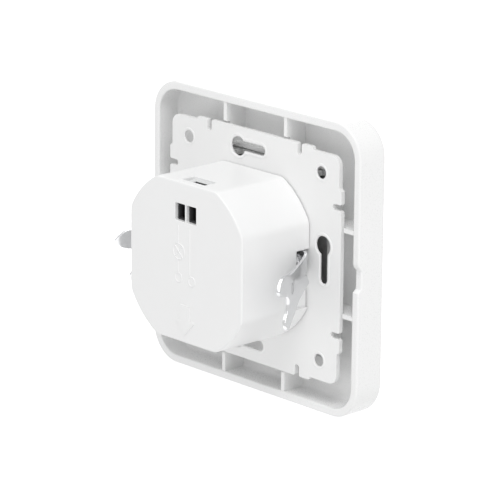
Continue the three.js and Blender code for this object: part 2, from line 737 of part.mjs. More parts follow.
// ---------- terminal ----------
function terminalBlock() {
  const body = block(
    [-terminalHalfX, terminalHalfX], [powerRearY + gap, terminalRearY], [terminalBottom, terminalTop],
  );
  const contactRoom = [wireHoleBottom - contactThickness - 2 * gap, wireHoleBottom + 0.1];
  const channels = sides.map(([, sign]) => wireChannel(sign, channelEnd, terminalRearY + 1));
  const contactBeds = sides.map(([, sign]) => block(
    [sign * (wireX - contactWidth / 2 - 0.2), sign * (wireX + contactWidth / 2 + 0.2)],
    [channelEnd - 1.6, terminalRearY - 1.2], contactRoom,
  ));
  const tailSlots = sides.map(([, sign]) => block(
    [sign * (wireX - contactTailHalf - gap), sign * (wireX + contactTailHalf + gap)],
    [powerRearY, channelEnd], contactRoom,
  ));
  const springRooms = sides.map(([, sign]) => block(
    [sign * (wireX - springWidth / 2 - 0.25), sign * (wireX + springWidth / 2 + 0.25)],
    [channelEnd - 1.4, windowFrontY], [wireHoleTop - 0.5, terminalTop - 0.8],
  ));
  const barRoom = block(
    [-windowHalf, windowHalf], [windowFrontY - 0.7, windowRearY - 0.2], [releaseFootZ, terminalTop + 1],
  );
  const tongueRooms = sides.map(([, sign]) => block(
    [sign * (wireX - tongueHalf - 0.3), sign * (wireX + tongueHalf + 0.3)],
    [windowFrontY - 0.7, windowFrontY + 1.3], [wireHoleTop - 0.5, releaseFootZ + 0.5],
  ));
  place("terminal_block", cut(
    body, ...channels, ...contactBeds, ...tailSlots, ...springRooms, barRoom, ...tongueRooms,
  ), paleGrey);
}

// One bar opens both clamps: a head in the housing's window and a tongue down each channel.
function releaseBar() {
  const half = windowHalf - 0.4;
  const headFront = windowFrontY + 0.3;
  const headRear = windowRearY - 0.3 - 0.25;
  const headBottom = releaseTop - releaseHeight;
  const head = block([-half, half], [headFront, headRear], [headBottom, releaseTop]);
  const leverNotch = block(
    [-half - 1, 0.2], [headRear - 0.8, headRear + 1], [headBottom - 1, releaseTop + 1],
  );
  const tongues = sides.map(([, sign]) => block(
    [sign * (wireX - tongueHalf), sign * (wireX + tongueHalf)], [windowFrontY - 0.3, windowFrontY + 0.8],
    [wireHoleTop - 0.2, headBottom + 0.5],
  ));
  place("release_bar", joined(cut(head, leverNotch), ...tongues), paleGrey);
}

function wireContacts() {
  for (const [name, sign] of sides) {
    const top = wireHoleBottom - gap;
    const bottom = top - contactThickness;
    const strip = block(
      [sign * (wireX - contactWidth / 2), sign * (wireX + contactWidth / 2)],
      [channelEnd - 1.2, terminalRearY - 1.6], [bottom, top],
    );
    const tail = block(
      [sign * (wireX - contactTailHalf), sign * (wireX + contactTailHalf)],
      [powerRearY + gap, channelEnd - 1], [bottom, top],
    );
    place(`wire_contact_${name}`, joined(strip, tail), copper);
  }
}

// A leaf that is anchored above the channel, turns over near its mouth and reaches down across it.
function clampSprings() {
  const anchorZ = terminalTop - 1.3;
  const turnRadius = 1.0;
  const turnY = windowFrontY - 1.9;
  const path = [new THREE.Vector2(channelEnd - 0.9, anchorZ), new THREE.Vector2(turnY, anchorZ)];
  for (let i = 1; i <= 5; i += 1) {
    const angle = Math.PI / 2 - (i / 5) * THREE.MathUtils.degToRad(150);
    path.push(new THREE.Vector2(
      turnY + turnRadius * Math.cos(angle), anchorZ - turnRadius + turnRadius * Math.sin(angle),
    ));
  }
  path.push(new THREE.Vector2(channelEnd + 0.9, wireHoleBottom + 0.5));
  for (const [name, sign] of sides) {
    place(`clamp_spring_${name}`, bentStrip(path, springThickness, springWidth, sign * wireX), steel);
  }
}

// ---------- boards and what stands on them ----------
function powerBoard() {
  const sheet = slab(shapeOf(truncatedOutline(powerBoardHalf, powerBoardRadius)), powerBoardY, powerRearY);
  place("power_board", sheet, boardGreen);
}

function logicBoard() {
  place("logic_board", roundedSlab(logicHalfX, logicHalfZ, 1.2, logicFrontY, logicRearY, 2), boardGreen);
}

// A moulded chip with legs along two sides, lying on a board face at y.
function chip(name, x, z, halfX, halfZ, y, height, material, legs = 4) {
  const away = Math.sign(height);
  const base = y + away * gap;
  const parts = [block([x - halfX, x + halfX], [base + away * 0.2, base + height], [z - halfZ, z + halfZ])];
  for (let i = 0; i < legs; i += 1) {
    const legX = x - halfX + ((2 * i + 1) * halfX) / legs;
    const legReach = halfZ + 0.9;
    parts.push(block([legX - 0.2, legX + 0.2], [base, base + away * 0.5], [z - legReach, z + legReach]));
  }
  place(name, joined(...parts), material);
}

function pinHeader() {
  const around = (middle, half) => [middle - half, middle + half];
  const parts = [block(around(0, headerHalf), [logicRearY + 1.2, powerBoardY - 1.2], around(headerZ, 1.25))];
  for (let i = 0; i < headerPins; i += 1) {
    const x = (i - (headerPins - 1) / 2) * headerPitch;
    parts.push(block(
      around(x, headerPinHalf), [logicRearY + gap, powerBoardY - gap], around(headerZ, headerPinHalf),
    ));
  }
  place("pin_header", joined(...parts), darkPlastic);
}

function keySwitch() {
  const rear = logicFrontY - gap;
  const front = rear - switchHeight;
  const body = block([-switchHalf, switchHalf], [front, rear], [switchZ - switchHalf, switchZ + switchHalf]);
  const bore = rodY(0, switchZ, plungerRadius + gap, front - 1, rear - 0.5, 20);
  place("switch_body", cut(body, bore), darkPlastic);
  place("switch_plunger", rodY(0, switchZ, plungerRadius, plungerTopY, rear - 1.2, 20), paleGrey);
}

function logicParts() {
  chip("radio_module", 0, -4, 6, 7, logicFrontY, -2.0, aluminium, 8);
  const ledRear = logicFrontY - gap;
  const led = joined(
    block([-1.5, 1.5], [ledRear - 0.7, ledRear], [lightZ - 0.9, lightZ + 0.9]),
    rodY(0, lightZ, 0.8, ledRear - 1.1, ledRear - 0.6, 14),
  );
  place("status_led", led, clear);
}

// A ring core with its winding as one raised band.
function choke() {
  const core = new THREE.LatheGeometry([
    new THREE.Vector2(3.2, -3.2), new THREE.Vector2(6.8, -3.2), new THREE.Vector2(7.6, -2.4),
    new THREE.Vector2(7.6, 2.4), new THREE.Vector2(6.8, 3.2), new THREE.Vector2(3.2, 3.2),
    new THREE.Vector2(2.6, 2.4), new THREE.Vector2(2.6, -2.4), new THREE.Vector2(3.2, -3.2),
  ], 24);
  place("choke", solidOf(core.translate(-6.4, powerBoardY - gap - 3.3, 6)), ferrite);
}

function frontSideParts() {
  const boardFace = powerBoardY - gap;
  const can = rodX(boardFace - 4.1, 7.5, 4.0, 3.0, 14.0, 24);
  place("bulk_capacitor", can, capacitorSleeve);
  place("film_capacitor", block([-13, 0], [boardFace - 8.5, boardFace], [-8.6, -3.6]), filmBlock);
  place("drum_inductor", joined(
    rodY(8, -3, 3.6, boardFace - 1, boardFace, 20), rodY(8, -3, 2.4, boardFace - 6, boardFace - 0.5, 20),
    rodY(8, -3, 3.6, boardFace - 7, boardFace - 6, 20),
  ), ferrite);
  chip("bridge_rectifier", 0, 17.4, 3.2, 2.4, powerBoardY, -2.4, darkPlastic, 2);
}

function powerTransistors() {
  const face = powerRearY + gap;
  const caseHeight = 2.3;
  const tabHeight = 0.6;
  const caseZ = [-13, -7];
  for (const [name, sign] of sides) {
    const x = sign * 6.5;
    place(`power_transistor_${name}`, joined(
      block([x - 3.3, x + 3.3], [face, face + caseHeight], caseZ),
      block([x - 2.6, x + 2.6], [face, face + tabHeight], [caseZ[1] - 0.2, caseZ[1] + 1.4]),
      block([x - 2.6, x - 1.8], [face, face + tabHeight], [caseZ[0] - 2, caseZ[0] + 0.2]),
      block([x + 1.8, x + 2.6], [face, face + tabHeight], [caseZ[0] - 2, caseZ[0] + 0.2]),
    ), darkPlastic);
  }
  const top = face + caseHeight + gap;
  const sheet = block([-12.7, 12.7], [top, top + 1.2], caseZ);
  const legs = [-12, 12].map((x) => block([x - 0.7, x + 0.7], [face, top + 1], caseZ));
  const fins = [-9, -3, 3, 9].map((x) => block([x - 0.5, x + 0.5], [top + 0.8, top + 6], caseZ));
  place("heat_spreader", joined(sheet, ...legs, ...fins), aluminium);
}

function rearSideParts() {
  const face = powerRearY + gap;
  place("varistor", joined(
    rodX(face + 5.8, 2, 4.6, -15.6, -12.2, 24), block([-14.3, -13.7], [face, face + 2], [-0.6, -0.1]),
    block([-14.3, -13.7], [face, face + 2], [4.1, 4.6]),
  ), varistorBlue);
  place("fuse", joined(
    rodX(face + 2.1, 2, 1.8, 3, 12, 20), block([4, 4.5], [face, face + 1.5], [1.7, 2.3]),
    block([10.5, 11], [face, face + 1.5], [1.7, 2.3]),
  ), ceramic);
  const shunt = [[-8, 0], [-8, 2.6], [-7.2, 3.4], [-2.8, 3.4], [-2, 2.6], [-2, 0]];
  const bridge = new THREE.Shape(ribbon(shunt.map(([x, y]) => new THREE.Vector2(x, y)), 0.7));
  const strap = new THREE.ExtrudeGeometry(bridge, { depth: 3, bevelEnabled: false });
  place("metering_shunt", solidOf(strap.translate(0, face, 3)), copper);
  chip("metering_chip", -5, -1.4, 2.6, 2, powerRearY, 1.3, darkPlastic, 4);
}

// The outline of a bent ribbon of one thickness about a path.
function ribbon(path, thickness) {
  const offset = (sign) => path.map((point, i) => {
    const before = path[Math.max(i - 1, 0)];
    const after = path[Math.min(i + 1, path.length - 1)];
    const along = new THREE.Vector2().subVectors(after, before).normalize();
    const step = (sign * thickness) / 2;
    return new THREE.Vector2(point.x - along.y * step, point.y + along.x * step);
  });
  return [...offset(-1), ...offset(1).reverse()];
}

coverFrame();
pushKey();
lightPipe();
keySprings();
frontChassis();
mountingPlate();
rearHousing();
claws();
clawScrews();
housingScrews();
terminalBlock();
releaseBar();
wireContacts();
clampSprings();
powerBoard();
logicBoard();
pinHeader();
keySwitch();
logicParts();
choke();
frontSideParts();
powerTransistors();
rearSideParts();

export default root;
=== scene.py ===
# %% [markdown]
# # A flush-mounted metering switch, seen from the wall's side
# The object is a square cover frame with a push key, a mounting plate with two spreading claws, and a
# deep housing that goes into a round wall box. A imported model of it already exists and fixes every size
# and every joint, so this lesson only adds the looks: soft moulded edges, stamped metal, the raised
# signs on the housing, and a finish for each material. First the fixed model is loaded and measured.

# %% Load the fixed frame
import json
import math

import bmesh
import bpy
import numpy as np
from mathutils import Matrix, Vector
from mathutils.geometry import delaunay_2d_cdt


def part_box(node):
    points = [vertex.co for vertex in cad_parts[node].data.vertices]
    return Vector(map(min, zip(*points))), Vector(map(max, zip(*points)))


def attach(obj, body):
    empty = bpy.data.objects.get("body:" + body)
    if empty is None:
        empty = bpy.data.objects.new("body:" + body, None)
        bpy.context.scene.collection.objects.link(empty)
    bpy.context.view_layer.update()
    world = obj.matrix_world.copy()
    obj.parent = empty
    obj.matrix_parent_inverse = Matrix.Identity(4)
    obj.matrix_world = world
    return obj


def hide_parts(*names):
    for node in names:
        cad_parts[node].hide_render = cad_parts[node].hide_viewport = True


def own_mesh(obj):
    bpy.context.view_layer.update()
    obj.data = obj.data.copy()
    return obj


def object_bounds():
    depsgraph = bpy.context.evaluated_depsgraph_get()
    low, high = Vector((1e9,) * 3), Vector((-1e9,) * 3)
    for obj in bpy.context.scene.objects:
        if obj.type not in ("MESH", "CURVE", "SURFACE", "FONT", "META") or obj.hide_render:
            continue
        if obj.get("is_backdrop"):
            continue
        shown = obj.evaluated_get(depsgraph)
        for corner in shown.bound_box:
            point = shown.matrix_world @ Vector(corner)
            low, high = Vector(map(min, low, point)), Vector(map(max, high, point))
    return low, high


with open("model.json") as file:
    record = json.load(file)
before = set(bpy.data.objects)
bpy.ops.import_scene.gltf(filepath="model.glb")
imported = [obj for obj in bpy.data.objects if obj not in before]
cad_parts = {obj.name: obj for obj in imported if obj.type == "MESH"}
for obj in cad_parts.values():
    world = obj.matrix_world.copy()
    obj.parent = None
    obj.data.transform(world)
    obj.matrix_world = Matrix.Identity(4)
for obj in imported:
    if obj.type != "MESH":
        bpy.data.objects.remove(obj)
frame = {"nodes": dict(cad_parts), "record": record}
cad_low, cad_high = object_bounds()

MM = 0.001


def box_mm(node):
    """The low and the high corner of a node's box in the fixed model, in millimetres."""
    low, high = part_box(node)
    return np.array(low) / MM, np.array(high) / MM


print("size in mm:", [round(size / MM, 2) for size in cad_high - cad_low])

# %% [markdown]
# ## The camera
# The camera stands on the wall's side, beyond the housing's -X side and a little above it, and a long
# lens keeps the parallels nearly parallel. It is placed by a distance and two angles about the point
# that it aims at, because those are easier to picture than three coordinates.

# %% Place the camera
AIM = Vector((0.398, 0.796, -0.886)) * MM
DISTANCE = 965.519 * MM
HEADING = math.radians(133.277)  # from +Y towards +X, the way the camera looks
DOWNWARD = math.radians(16.134)
ROLL = math.radians(-0.481)
SENSOR = 36.0
LENS = 234.53

forward = Vector((
    math.sin(HEADING) * math.cos(DOWNWARD),
    math.cos(HEADING) * math.cos(DOWNWARD),
    -math.sin(DOWNWARD),
))
camera = bpy.data.objects.new("camera", bpy.data.cameras.new("camera"))
camera.data.sensor_width = SENSOR
camera.data.lens = LENS
camera.data.clip_end = 100.0
turn = forward.to_track_quat("-Z", "Y") @ Matrix.Rotation(-ROLL, 3, "Z").to_quaternion()
camera.matrix_world = Matrix.Translation(AIM - forward * DISTANCE) @ turn.to_matrix().to_4x4()
bpy.context.scene.collection.objects.link(camera)
bpy.context.scene.camera = camera
print("camera at", [round(value, 4) for value in camera.matrix_world.translation])

# %% [markdown]
# ## Finishes
# Nearly everything that shows is white moulded plastic, so the differences between the whites have to
# come from their gloss and their grain: the frame and the key are polished in the mould, the housing
# and the plate carry a fine spark-eroded grain. Each finish is a Principled shader with a noise in
# Object coordinates, so the grain keeps its real size on every piece.

# %% A plastic with a moulded grain
def plastic(name, colour, roughness, grain_mm=0.35, grain_depth=0.01, drift=0.015, coat=0.0):
    """A dielectric whose colour drifts over centimetres and whose surface has a fine grain.

    Colour = colour x (1 - drift + 2 drift n1), where n1 is a wide noise, and roughness =
    roughness + 0.06 (n2 - 0.5), where n2 is a noise of the grain's size. The bump's height is
    grain_depth x n2 in millimetres.
    """
    material = bpy.data.materials.new(name)
    material.use_nodes = True
    nodes, links = material.node_tree.nodes, material.node_tree.links
    shader = nodes["Principled BSDF"]
    place = nodes.new("ShaderNodeTexCoord")
    wide = nodes.new("ShaderNodeTexNoise")
    wide.inputs["Scale"].default_value = 1 / (18 * MM)
    wide.inputs["Detail"].default_value = 3.0
    fine = nodes.new("ShaderNodeTexNoise")
    fine.inputs["Scale"].default_value = 1 / (grain_mm * MM)
    fine.inputs["Detail"].default_value = 2.0
    for noise in (wide, fine):
        links.new(place.outputs["Object"], noise.inputs["Vector"])
    tint = nodes.new("ShaderNodeMix")
    tint.data_type = "RGBA"
    low, high = [s for s in tint.inputs if s.type == "RGBA"]
    low.default_value = (*[channel * (1 - drift) for channel in colour], 1)
    high.default_value = (*[min(channel * (1 + drift), 1) for channel in colour], 1)
    links.new(wide.outputs["Fac"], tint.inputs["Factor"])
    links.new(next(s for s in tint.outputs if s.type == "RGBA"), shader.inputs["Base Color"])
    gloss = nodes.new("ShaderNodeMapRange")
    gloss.inputs["To Min"].default_value = roughness - 0.03
    gloss.inputs["To Max"].default_value = roughness + 0.03
    links.new(fine.outputs["Fac"], gloss.inputs["Value"])
    links.new(gloss.outputs["Result"], shader.inputs["Roughness"])
    bump = nodes.new("ShaderNodeBump")
    bump.inputs["Strength"].default_value = 0.35
    bump.inputs["Distance"].default_value = grain_depth * MM
    links.new(fine.outputs["Fac"], bump.inputs["Height"])
    links.new(bump.outputs["Normal"], shader.inputs["Normal"])
    shader.inputs["IOR"].default_value = 1.5
    shader.inputs["Coat Weight"].default_value = coat
    return material


# %% A metal with rolling marks
def metal(name, colour, roughness, mark_mm=0.5, stretch=(1, 1, 1), depth=0.004):
    """A conductor whose roughness and height follow one noise, which rolling may stretch along an axis.

    Roughness = roughness + 0.16 (n - 0.5) and height = depth x n in millimetres. The noise n is sampled
    at the point divided by mark_mm and by each axis's stretch.
    """
    material = bpy.data.materials.new(name)
    material.use_nodes = True
    nodes, links = material.node_tree.nodes, material.node_tree.links
    shader = nodes["Principled BSDF"]
    shader.inputs["Base Color"].default_value = (*colour, 1)
    shader.inputs["Metallic"].default_value = 1.0
    place = nodes.new("ShaderNodeTexCoord")
    stretched = nodes.new("ShaderNodeMapping")
    stretched.inputs["Scale"].default_value = tuple(1 / (mark_mm * MM * share) for share in stretch)
    links.new(place.outputs["Object"], stretched.inputs["Vector"])
    marks = nodes.new("ShaderNodeTexNoise")
    marks.inputs["Scale"].default_value = 1.0
    marks.inputs["Detail"].default_value = 4.0
    links.new(stretched.outputs["Vector"], marks.inputs["Vector"])
    gloss = nodes.new("ShaderNodeMapRange")
    gloss.inputs["To Min"].default_value = roughness - 0.08
    gloss.inputs["To Max"].default_value = roughness + 0.08
    links.new(marks.outputs["Fac"], gloss.inputs["Value"])
    links.new(gloss.outputs["Result"], shader.inputs["Roughness"])
    bump = nodes.new("ShaderNodeBump")
    bump.inputs["Strength"].default_value = 0.4
    bump.inputs["Distance"].default_value = depth * MM
    links.new(marks.outputs["Fac"], bump.inputs["Height"])
    links.new(bump.outputs["Normal"], shader.inputs["Normal"])
    return material


# %% Mix the finishes
WHITE = (0.92, 0.922, 0.92)
finishes = {
    "frame_white": plastic("frame_white", (0.905, 0.907, 0.905), 0.28, grain_depth=0.004),
    "key_white": plastic("key_white", WHITE, 0.22, grain_depth=0.003),
    "light_clear": plastic("light_clear", (0.78, 0.84, 0.86), 0.08, grain_depth=0.001),
    "chassis_white": plastic("chassis_white", WHITE, 0.4),
    "plate_white": plastic("plate_white", (0.895, 0.897, 0.895), 0.36, grain_mm=0.45, grain_depth=0.012),
    "housing_white": plastic("housing_white", (0.895, 0.897, 0.897), 0.34, grain_mm=0.4, grain_depth=0.015),
    "zinc": metal("zinc", (0.74, 0.745, 0.755), 0.24, mark_mm=0.35, depth=0.006),
    # Near black. On the terminal block, the wire spouts and the lever slot it is painted shade, standing for
    # the shade inside the housing's openings.
    "terminal_dark": plastic("terminal_dark", (0.05, 0.05, 0.053), 0.5),
    "steel": metal("steel", (0.56, 0.57, 0.6), 0.3),
    "terminal_grey": plastic("terminal_grey", (0.72, 0.73, 0.73), 0.45),
    "copper": metal("copper", (0.86, 0.47, 0.3), 0.32),
    "board_green": plastic("board_green", (0.02, 0.13, 0.06), 0.35, 1.2, grain_depth=0.02, drift=0.25),
    "dark_plastic": plastic("dark_plastic", (0.02, 0.02, 0.022), 0.5, drift=0.2),
    "ferrite": plastic("ferrite", (0.045, 0.045, 0.05), 0.6, grain_mm=0.2, drift=0.3),
    "capacitor_sleeve": plastic("capacitor_sleeve", (0.03, 0.05, 0.14), 0.3, drift=0.1, coat=0.3),
    "film_yellow": plastic("film_yellow", (0.72, 0.52, 0.06), 0.35, drift=0.06),
    "varistor_blue": plastic("varistor_blue", (0.03, 0.13, 0.42), 0.3, drift=0.08, coat=0.2),
    "ceramic": plastic("ceramic", (0.72, 0.67, 0.54), 0.5, drift=0.05),
    "aluminium": metal("aluminium", (0.75, 0.76, 0.78), 0.35, stretch=(6, 1, 1)),
}
# The terminal block is coloured near black instead of its grey slot: painted shade, seen through the
# housing's window.
PAINTED_SHADE_FINISH_OF_NODE = {"terminal_block": "terminal_dark"}  # where it isn't the slot's own
for part in frame["record"]["subparts"]:
    node = frame["nodes"][part["node"]]
    node.data.materials.clear()
    node.data.materials.append(finishes[PAINTED_SHADE_FINISH_OF_NODE.get(part["node"], part["material_slot"])])
print(len(finishes), "finishes on", len(frame["nodes"]), "nodes")

# %% [markdown]
# ## From arrays to pieces
# A moulded or stamped piece is easiest to describe as a formula: a ring of points, a profile that is
# carried round it, or a flat sheet with holes. numpy works such a formula out for all points at once.
# The helpers here turn the arrays into a closed mesh, join and cut meshes, and put a finished piece on
# its body with softened shading.

# %% Make and place a piece
def mesh_of(points, faces):
    """A mesh from points in millimetres and faces as rows of point numbers."""
    mesh = bpy.data.meshes.new("shape")
    mesh.from_pydata((np.asarray(points, float) * MM).tolist(), [], np.asarray(faces).tolist())
    return mesh


def outward(mesh, merge_mm=0.002):
    """Close the seams and turn every face to the outside."""
    shape = bmesh.new()
    shape.from_mesh(mesh)
    bmesh.ops.remove_doubles(shape, verts=shape.verts, dist=merge_mm * MM)
    bmesh.ops.dissolve_degenerate(shape, edges=shape.edges, dist=merge_mm * MM / 4)
    bmesh.ops.recalc_face_normals(shape, faces=shape.faces)
    shape.to_mesh(mesh)
    shape.free()
    return mesh


def piece(name, mesh, slot, body="housing", stands_for=(), crease=40, finish=None):
    """A finished object: its material, its body, the nodes that it stands for, and shading that is
    smooth except over edges sharper than the crease angle. The finish is the slot's own if none is named."""
    mesh.materials.clear()
    mesh.materials.append(finishes[finish or slot])
    mesh.shade_smooth()
    mesh.set_sharp_from_angle(angle=math.radians(crease))
    made = bpy.data.objects.new(name, mesh)
    bpy.context.scene.collection.objects.link(made)
    weigh = made.modifiers.new("even", "WEIGHTED_NORMAL")
    weigh.keep_sharp = True
    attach(made, body)
    if stands_for:
        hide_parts(*stands_for)
    print(f"{name}: {len(mesh.polygons)} faces on {body}")
    return made


def capped(mesh):
    """Close the open ends of a mesh and turn its faces to the outside."""
    shape = bmesh.new()
    shape.from_mesh(mesh)
    bmesh.ops.holes_fill(shape, edges=shape.edges)
    bmesh.ops.recalc_face_normals(shape, faces=shape.faces)
    shape.to_mesh(mesh)
    shape.free()
    return mesh


def applied(mesh, *changes):
    """The mesh after modifiers, each given as a type and its settings."""
    worker = bpy.data.objects.new("worker", mesh)
    bpy.context.scene.collection.objects.link(worker)
    for kind, settings in changes:
        modifier = worker.modifiers.new(kind.lower(), kind)
        for key, value in settings.items():
            setattr(modifier, key, value)
    graph = bpy.context.evaluated_depsgraph_get()
    result = bpy.data.meshes.new_from_object(worker.evaluated_get(graph))
    bpy.data.objects.remove(worker)
    return result


# %% Join, cut and stack meshes
def stacked(*meshes):
    """One mesh that holds the faces of several."""
    shape = bmesh.new()
    for mesh in meshes:
        shape.from_mesh(mesh)
    mesh = bpy.data.meshes.new("stack")
    shape.to_mesh(mesh)
    shape.free()
    return mesh


def combined(mesh, tools, operation):
    """The exact union or difference of a closed mesh and several others."""
    for tool in tools:
        cutter = bpy.data.objects.new("cutter", tool)
        bpy.context.scene.collection.objects.link(cutter)
        mesh = applied(mesh, ("BOOLEAN", {"operation": operation, "object": cutter, "solver": "EXACT"}))
        bpy.data.objects.remove(cutter)
    return mesh


# %% [markdown]
# ## Rings, profiles and lofts
# The frame and the key are squares with round corners; the housing is a circle cut by four flats. Both
# are rings whose size may change from row to row, so one profile of (half width, depth) pairs carried
# round the ring gives walls, fillets and faces in a single grid. The corners of a profile are softened
# first, because a moulded edge is never sharp.

# %% Rings
def square_ring(half, radius, arc=10, flat=44):
    """Rows of points round squares of the given half widths with round corners.

    A quarter is the corner arc about (half - radius) and then the side in equal steps; turning the
    quarter by 90 degrees three times closes the ring. half and radius are arrays, one value a row.
    """
    half, radius = np.asarray(half, float)[:, None], np.asarray(radius, float)[:, None]
    turned = np.linspace(0, np.pi / 2, arc + 1)[None, :]
    step = np.linspace(0, 1, flat + 1)[None, 1:-1]
    middle = half - radius
    x = np.hstack([middle + radius * np.cos(turned), middle * (1 - 2 * step)])
    z = np.hstack([middle + radius * np.sin(turned), half + 0 * step])
    return np.hstack([x, -z, -x, z]), np.hstack([z, x, -z, -x])


def flat_sided_ring(half, radius, count=240, sharpness=160):
    """Rows of points round circles cut by four flats.

    In polar form the distance is the smallest of radius, half / |cos| and half / |sin|. A power mean
    with a large exponent takes its place, so that flat and round meet in a slightly soft edge.
    """
    half, radius = np.asarray(half, float)[:, None], np.asarray(radius, float)[:, None]
    angle = np.linspace(0, 2 * np.pi, count, endpoint=False)[None, :] + np.pi / count
    across, upright = np.abs(np.cos(angle)) * radius / half, np.abs(np.sin(angle)) * radius / half
    reach = radius * (1 + across**sharpness + upright**sharpness) ** (-1 / sharpness)
    return reach * np.cos(angle), reach * np.sin(angle)


# %% Profiles and the grid that carries them
def softened(corners, cuts, steps=5):
    """A closed outline whose corners are cut back and bridged by parabolas.

    With a corner C and its edges' points A and B at the cut's distance, the bridge is
    (1-u)^2 A + 2u(1-u) C + u^2 B for u from 0 to 1.
    """
    corners, cuts = np.asarray(corners, float), np.asarray(cuts, float)[:, None]
    before, after = np.roll(corners, 1, axis=0) - corners, np.roll(corners, -1, axis=0) - corners
    start = corners + cuts * before / np.linalg.norm(before, axis=1, keepdims=True)
    end = corners + cuts * after / np.linalg.norm(after, axis=1, keepdims=True)
    u = np.linspace(0, 1, steps + 1)[None, :, None]
    bridge = (1 - u) ** 2 * start[:, None] + 2 * u * (1 - u) * corners[:, None] + u**2 * end[:, None]
    return bridge.reshape(-1, corners.shape[1])


def wrapped(rows, columns, rows_close=False):
    """Quads between neighbouring rows of a grid whose columns run round a loop."""
    row = np.arange(rows if rows_close else rows - 1)[:, None]
    column = np.arange(columns)[None, :]
    here, above = row * columns, (row + 1) % rows * columns
    beside = (column + 1) % columns
    corners = (here + column, above + column, above + beside, here + beside)
    return np.stack(np.broadcast_arrays(*corners), axis=-1).reshape(-1, 4)


def grid_mesh(x, y, z, rows_close=False):
    """A mesh through rows of ring points."""
    x, y, z = np.broadcast_arrays(x, y, z)
    points = np.stack([x, y, z], axis=-1).reshape(-1, 3)
    return mesh_of(points, wrapped(*x.shape, rows_close=rows_close))


# %% Soft blocks
def soft_block(low, high, edge=0.15, steps=2):
    """A block between two corners with round edges.

    On each face both coordinates run from -1 to 0 at the low edge and from 0 to 1 at the high edge. The
    surface is the inner block's nearest corner plus edge times the unit vector of (a, b, 1).
    """
    low, high = np.minimum(low, high).astype(float), np.maximum(low, high).astype(float)
    inner_low, inner_high = low + edge, high - edge
    run = np.concatenate([np.linspace(-1, 0, steps + 1), np.linspace(0, 1, steps + 1)])
    is_high = np.arange(len(run)) > steps
    a, b = np.meshgrid(run, run, indexing="ij")
    a_high, b_high = np.meshgrid(is_high, is_high, indexing="ij")
    sheets, faces = [], []
    count = len(run)
    cell = np.arange((count - 1) * count).reshape(count - 1, count)[:, :-1].ravel()
    quads = np.stack([cell, cell + 1, cell + count + 1, cell + count], axis=-1)
    for axis in range(3):
        for side in (-1, 1):
            others = [(axis + 1) % 3, (axis + 2) % 3]
            direction = np.zeros(a.shape + (3,))
            direction[..., axis] = side
            direction[..., others[0]], direction[..., others[1]] = a, b
            direction /= np.linalg.norm(direction, axis=-1, keepdims=True)
            corner = np.zeros(a.shape + (3,))
            corner[..., axis] = inner_high[axis] if side > 0 else inner_low[axis]
            corner[..., others[0]] = np.where(a_high, inner_high[others[0]], inner_low[others[0]])
            corner[..., others[1]] = np.where(b_high, inner_high[others[1]], inner_low[others[1]])
            faces.append(quads + len(sheets) * count * count)
            sheets.append((corner + edge * direction).reshape(-1, 3))
    return outward(mesh_of(np.vstack(sheets), np.vstack(faces)))


# %% [markdown]
# ## Flat sheets with holes
# The mounting plate and the claws are flat sheets cut to an outline. Filling an outline by hand leaves
# long thin triangles that shade badly once they are bent, so a constrained Delaunay triangulation fills
# it together with a loose grid of inner points. The sheet then gets its thickness and its softened
# edges from a Solidify and a Bevel modifier.

# %% Fill an outline
def inside(points, loop):
    """Which points lie inside a loop: a ray to the right crosses its edges an odd number of times."""
    x, z = points[:, :1], points[:, 1:]
    ax, az = loop[None, :, 0], loop[None, :, 1]
    bx, bz = np.roll(ax, -1, axis=1), np.roll(az, -1, axis=1)
    crosses = (az > z) != (bz > z)
    rise = np.where(bz == az, 1.0, bz - az)
    return (crosses & (x < (bx - ax) * (z - az) / rise + ax)).sum(axis=1) % 2 == 1


def filled(outline, holes=(), spacing=2.0):
    """Points and triangles that fill an outline less its holes."""
    loops = [np.asarray(loop, float) for loop in (outline, *holes)]
    border = np.vstack(loops)
    low, high = border.min(axis=0), border.max(axis=0)
    lines = [np.arange(start + spacing / 2, end, spacing) for start, end in zip(low, high)]
    grid = np.stack(np.meshgrid(*lines), -1).reshape(-1, 2)
    keep = inside(grid, loops[0])
    for hole in loops[1:]:
        keep &= ~inside(grid, hole)
    away = np.linalg.norm(grid[:, None] - border[None], axis=-1).min(axis=1) > spacing * 0.45
    points = np.vstack([border, grid[keep & away]])
    starts = np.cumsum([0] + [len(loop) for loop in loops[:-1]])
    edges = np.vstack([
        np.stack([start + np.arange(len(loop)), start + (np.arange(len(loop)) + 1) % len(loop)], -1)
        for start, loop in zip(starts, loops)
    ])
    result = delaunay_2d_cdt([Vector(p) for p in points.tolist()], edges.tolist(), [], 1, 1e-5)
    points, triangles = np.array([tuple(p) for p in result[0]]), np.array(result[2])
    centres = points[triangles].mean(axis=1)
    solid = inside(centres, loops[0])
    for hole in loops[1:]:
        solid &= ~inside(centres, hole)
    return points, triangles[solid]


def with_thickness(mesh, thickness, edge):
    """A sheet given a thickness to both sides, with its rim edges rounded."""
    rounding = {"width": edge * MM, "segments": 3, "limit_method": "ANGLE", "angle_limit": math.radians(50)}
    return applied(
        mesh,
        ("SOLIDIFY", {"thickness": thickness * MM, "offset": 0.0, "use_even_offset": True}),
        ("BEVEL", rounding),
    )


# %% Outlines and prisms
def prism(loop, y0, y1):
    """A closed prism along Y over a loop."""
    x, z = np.tile(np.asarray(loop, float), (2, 1)).T
    y = np.repeat([y0, y1], len(loop))
    return capped(mesh_of(np.column_stack([x, y, z]), wrapped(2, len(loop))))


def disc(x, z, radius, count=32):
    """Points of a circle."""
    angle = np.linspace(0, 2 * np.pi, count, endpoint=False)
    return np.column_stack([x + radius * np.cos(angle), z + radius * np.sin(angle)])


def rectangle(x, z, half_x, half_z, corner=0.3, steps=3):
    """A rectangle with small round corners."""
    quarters = ((1, 1), (-1, 1), (-1, -1), (1, -1))
    corners = [(x + side * half_x, z + end * half_z) for side, end in quarters]
    return softened(corners, [corner] * 4, steps)


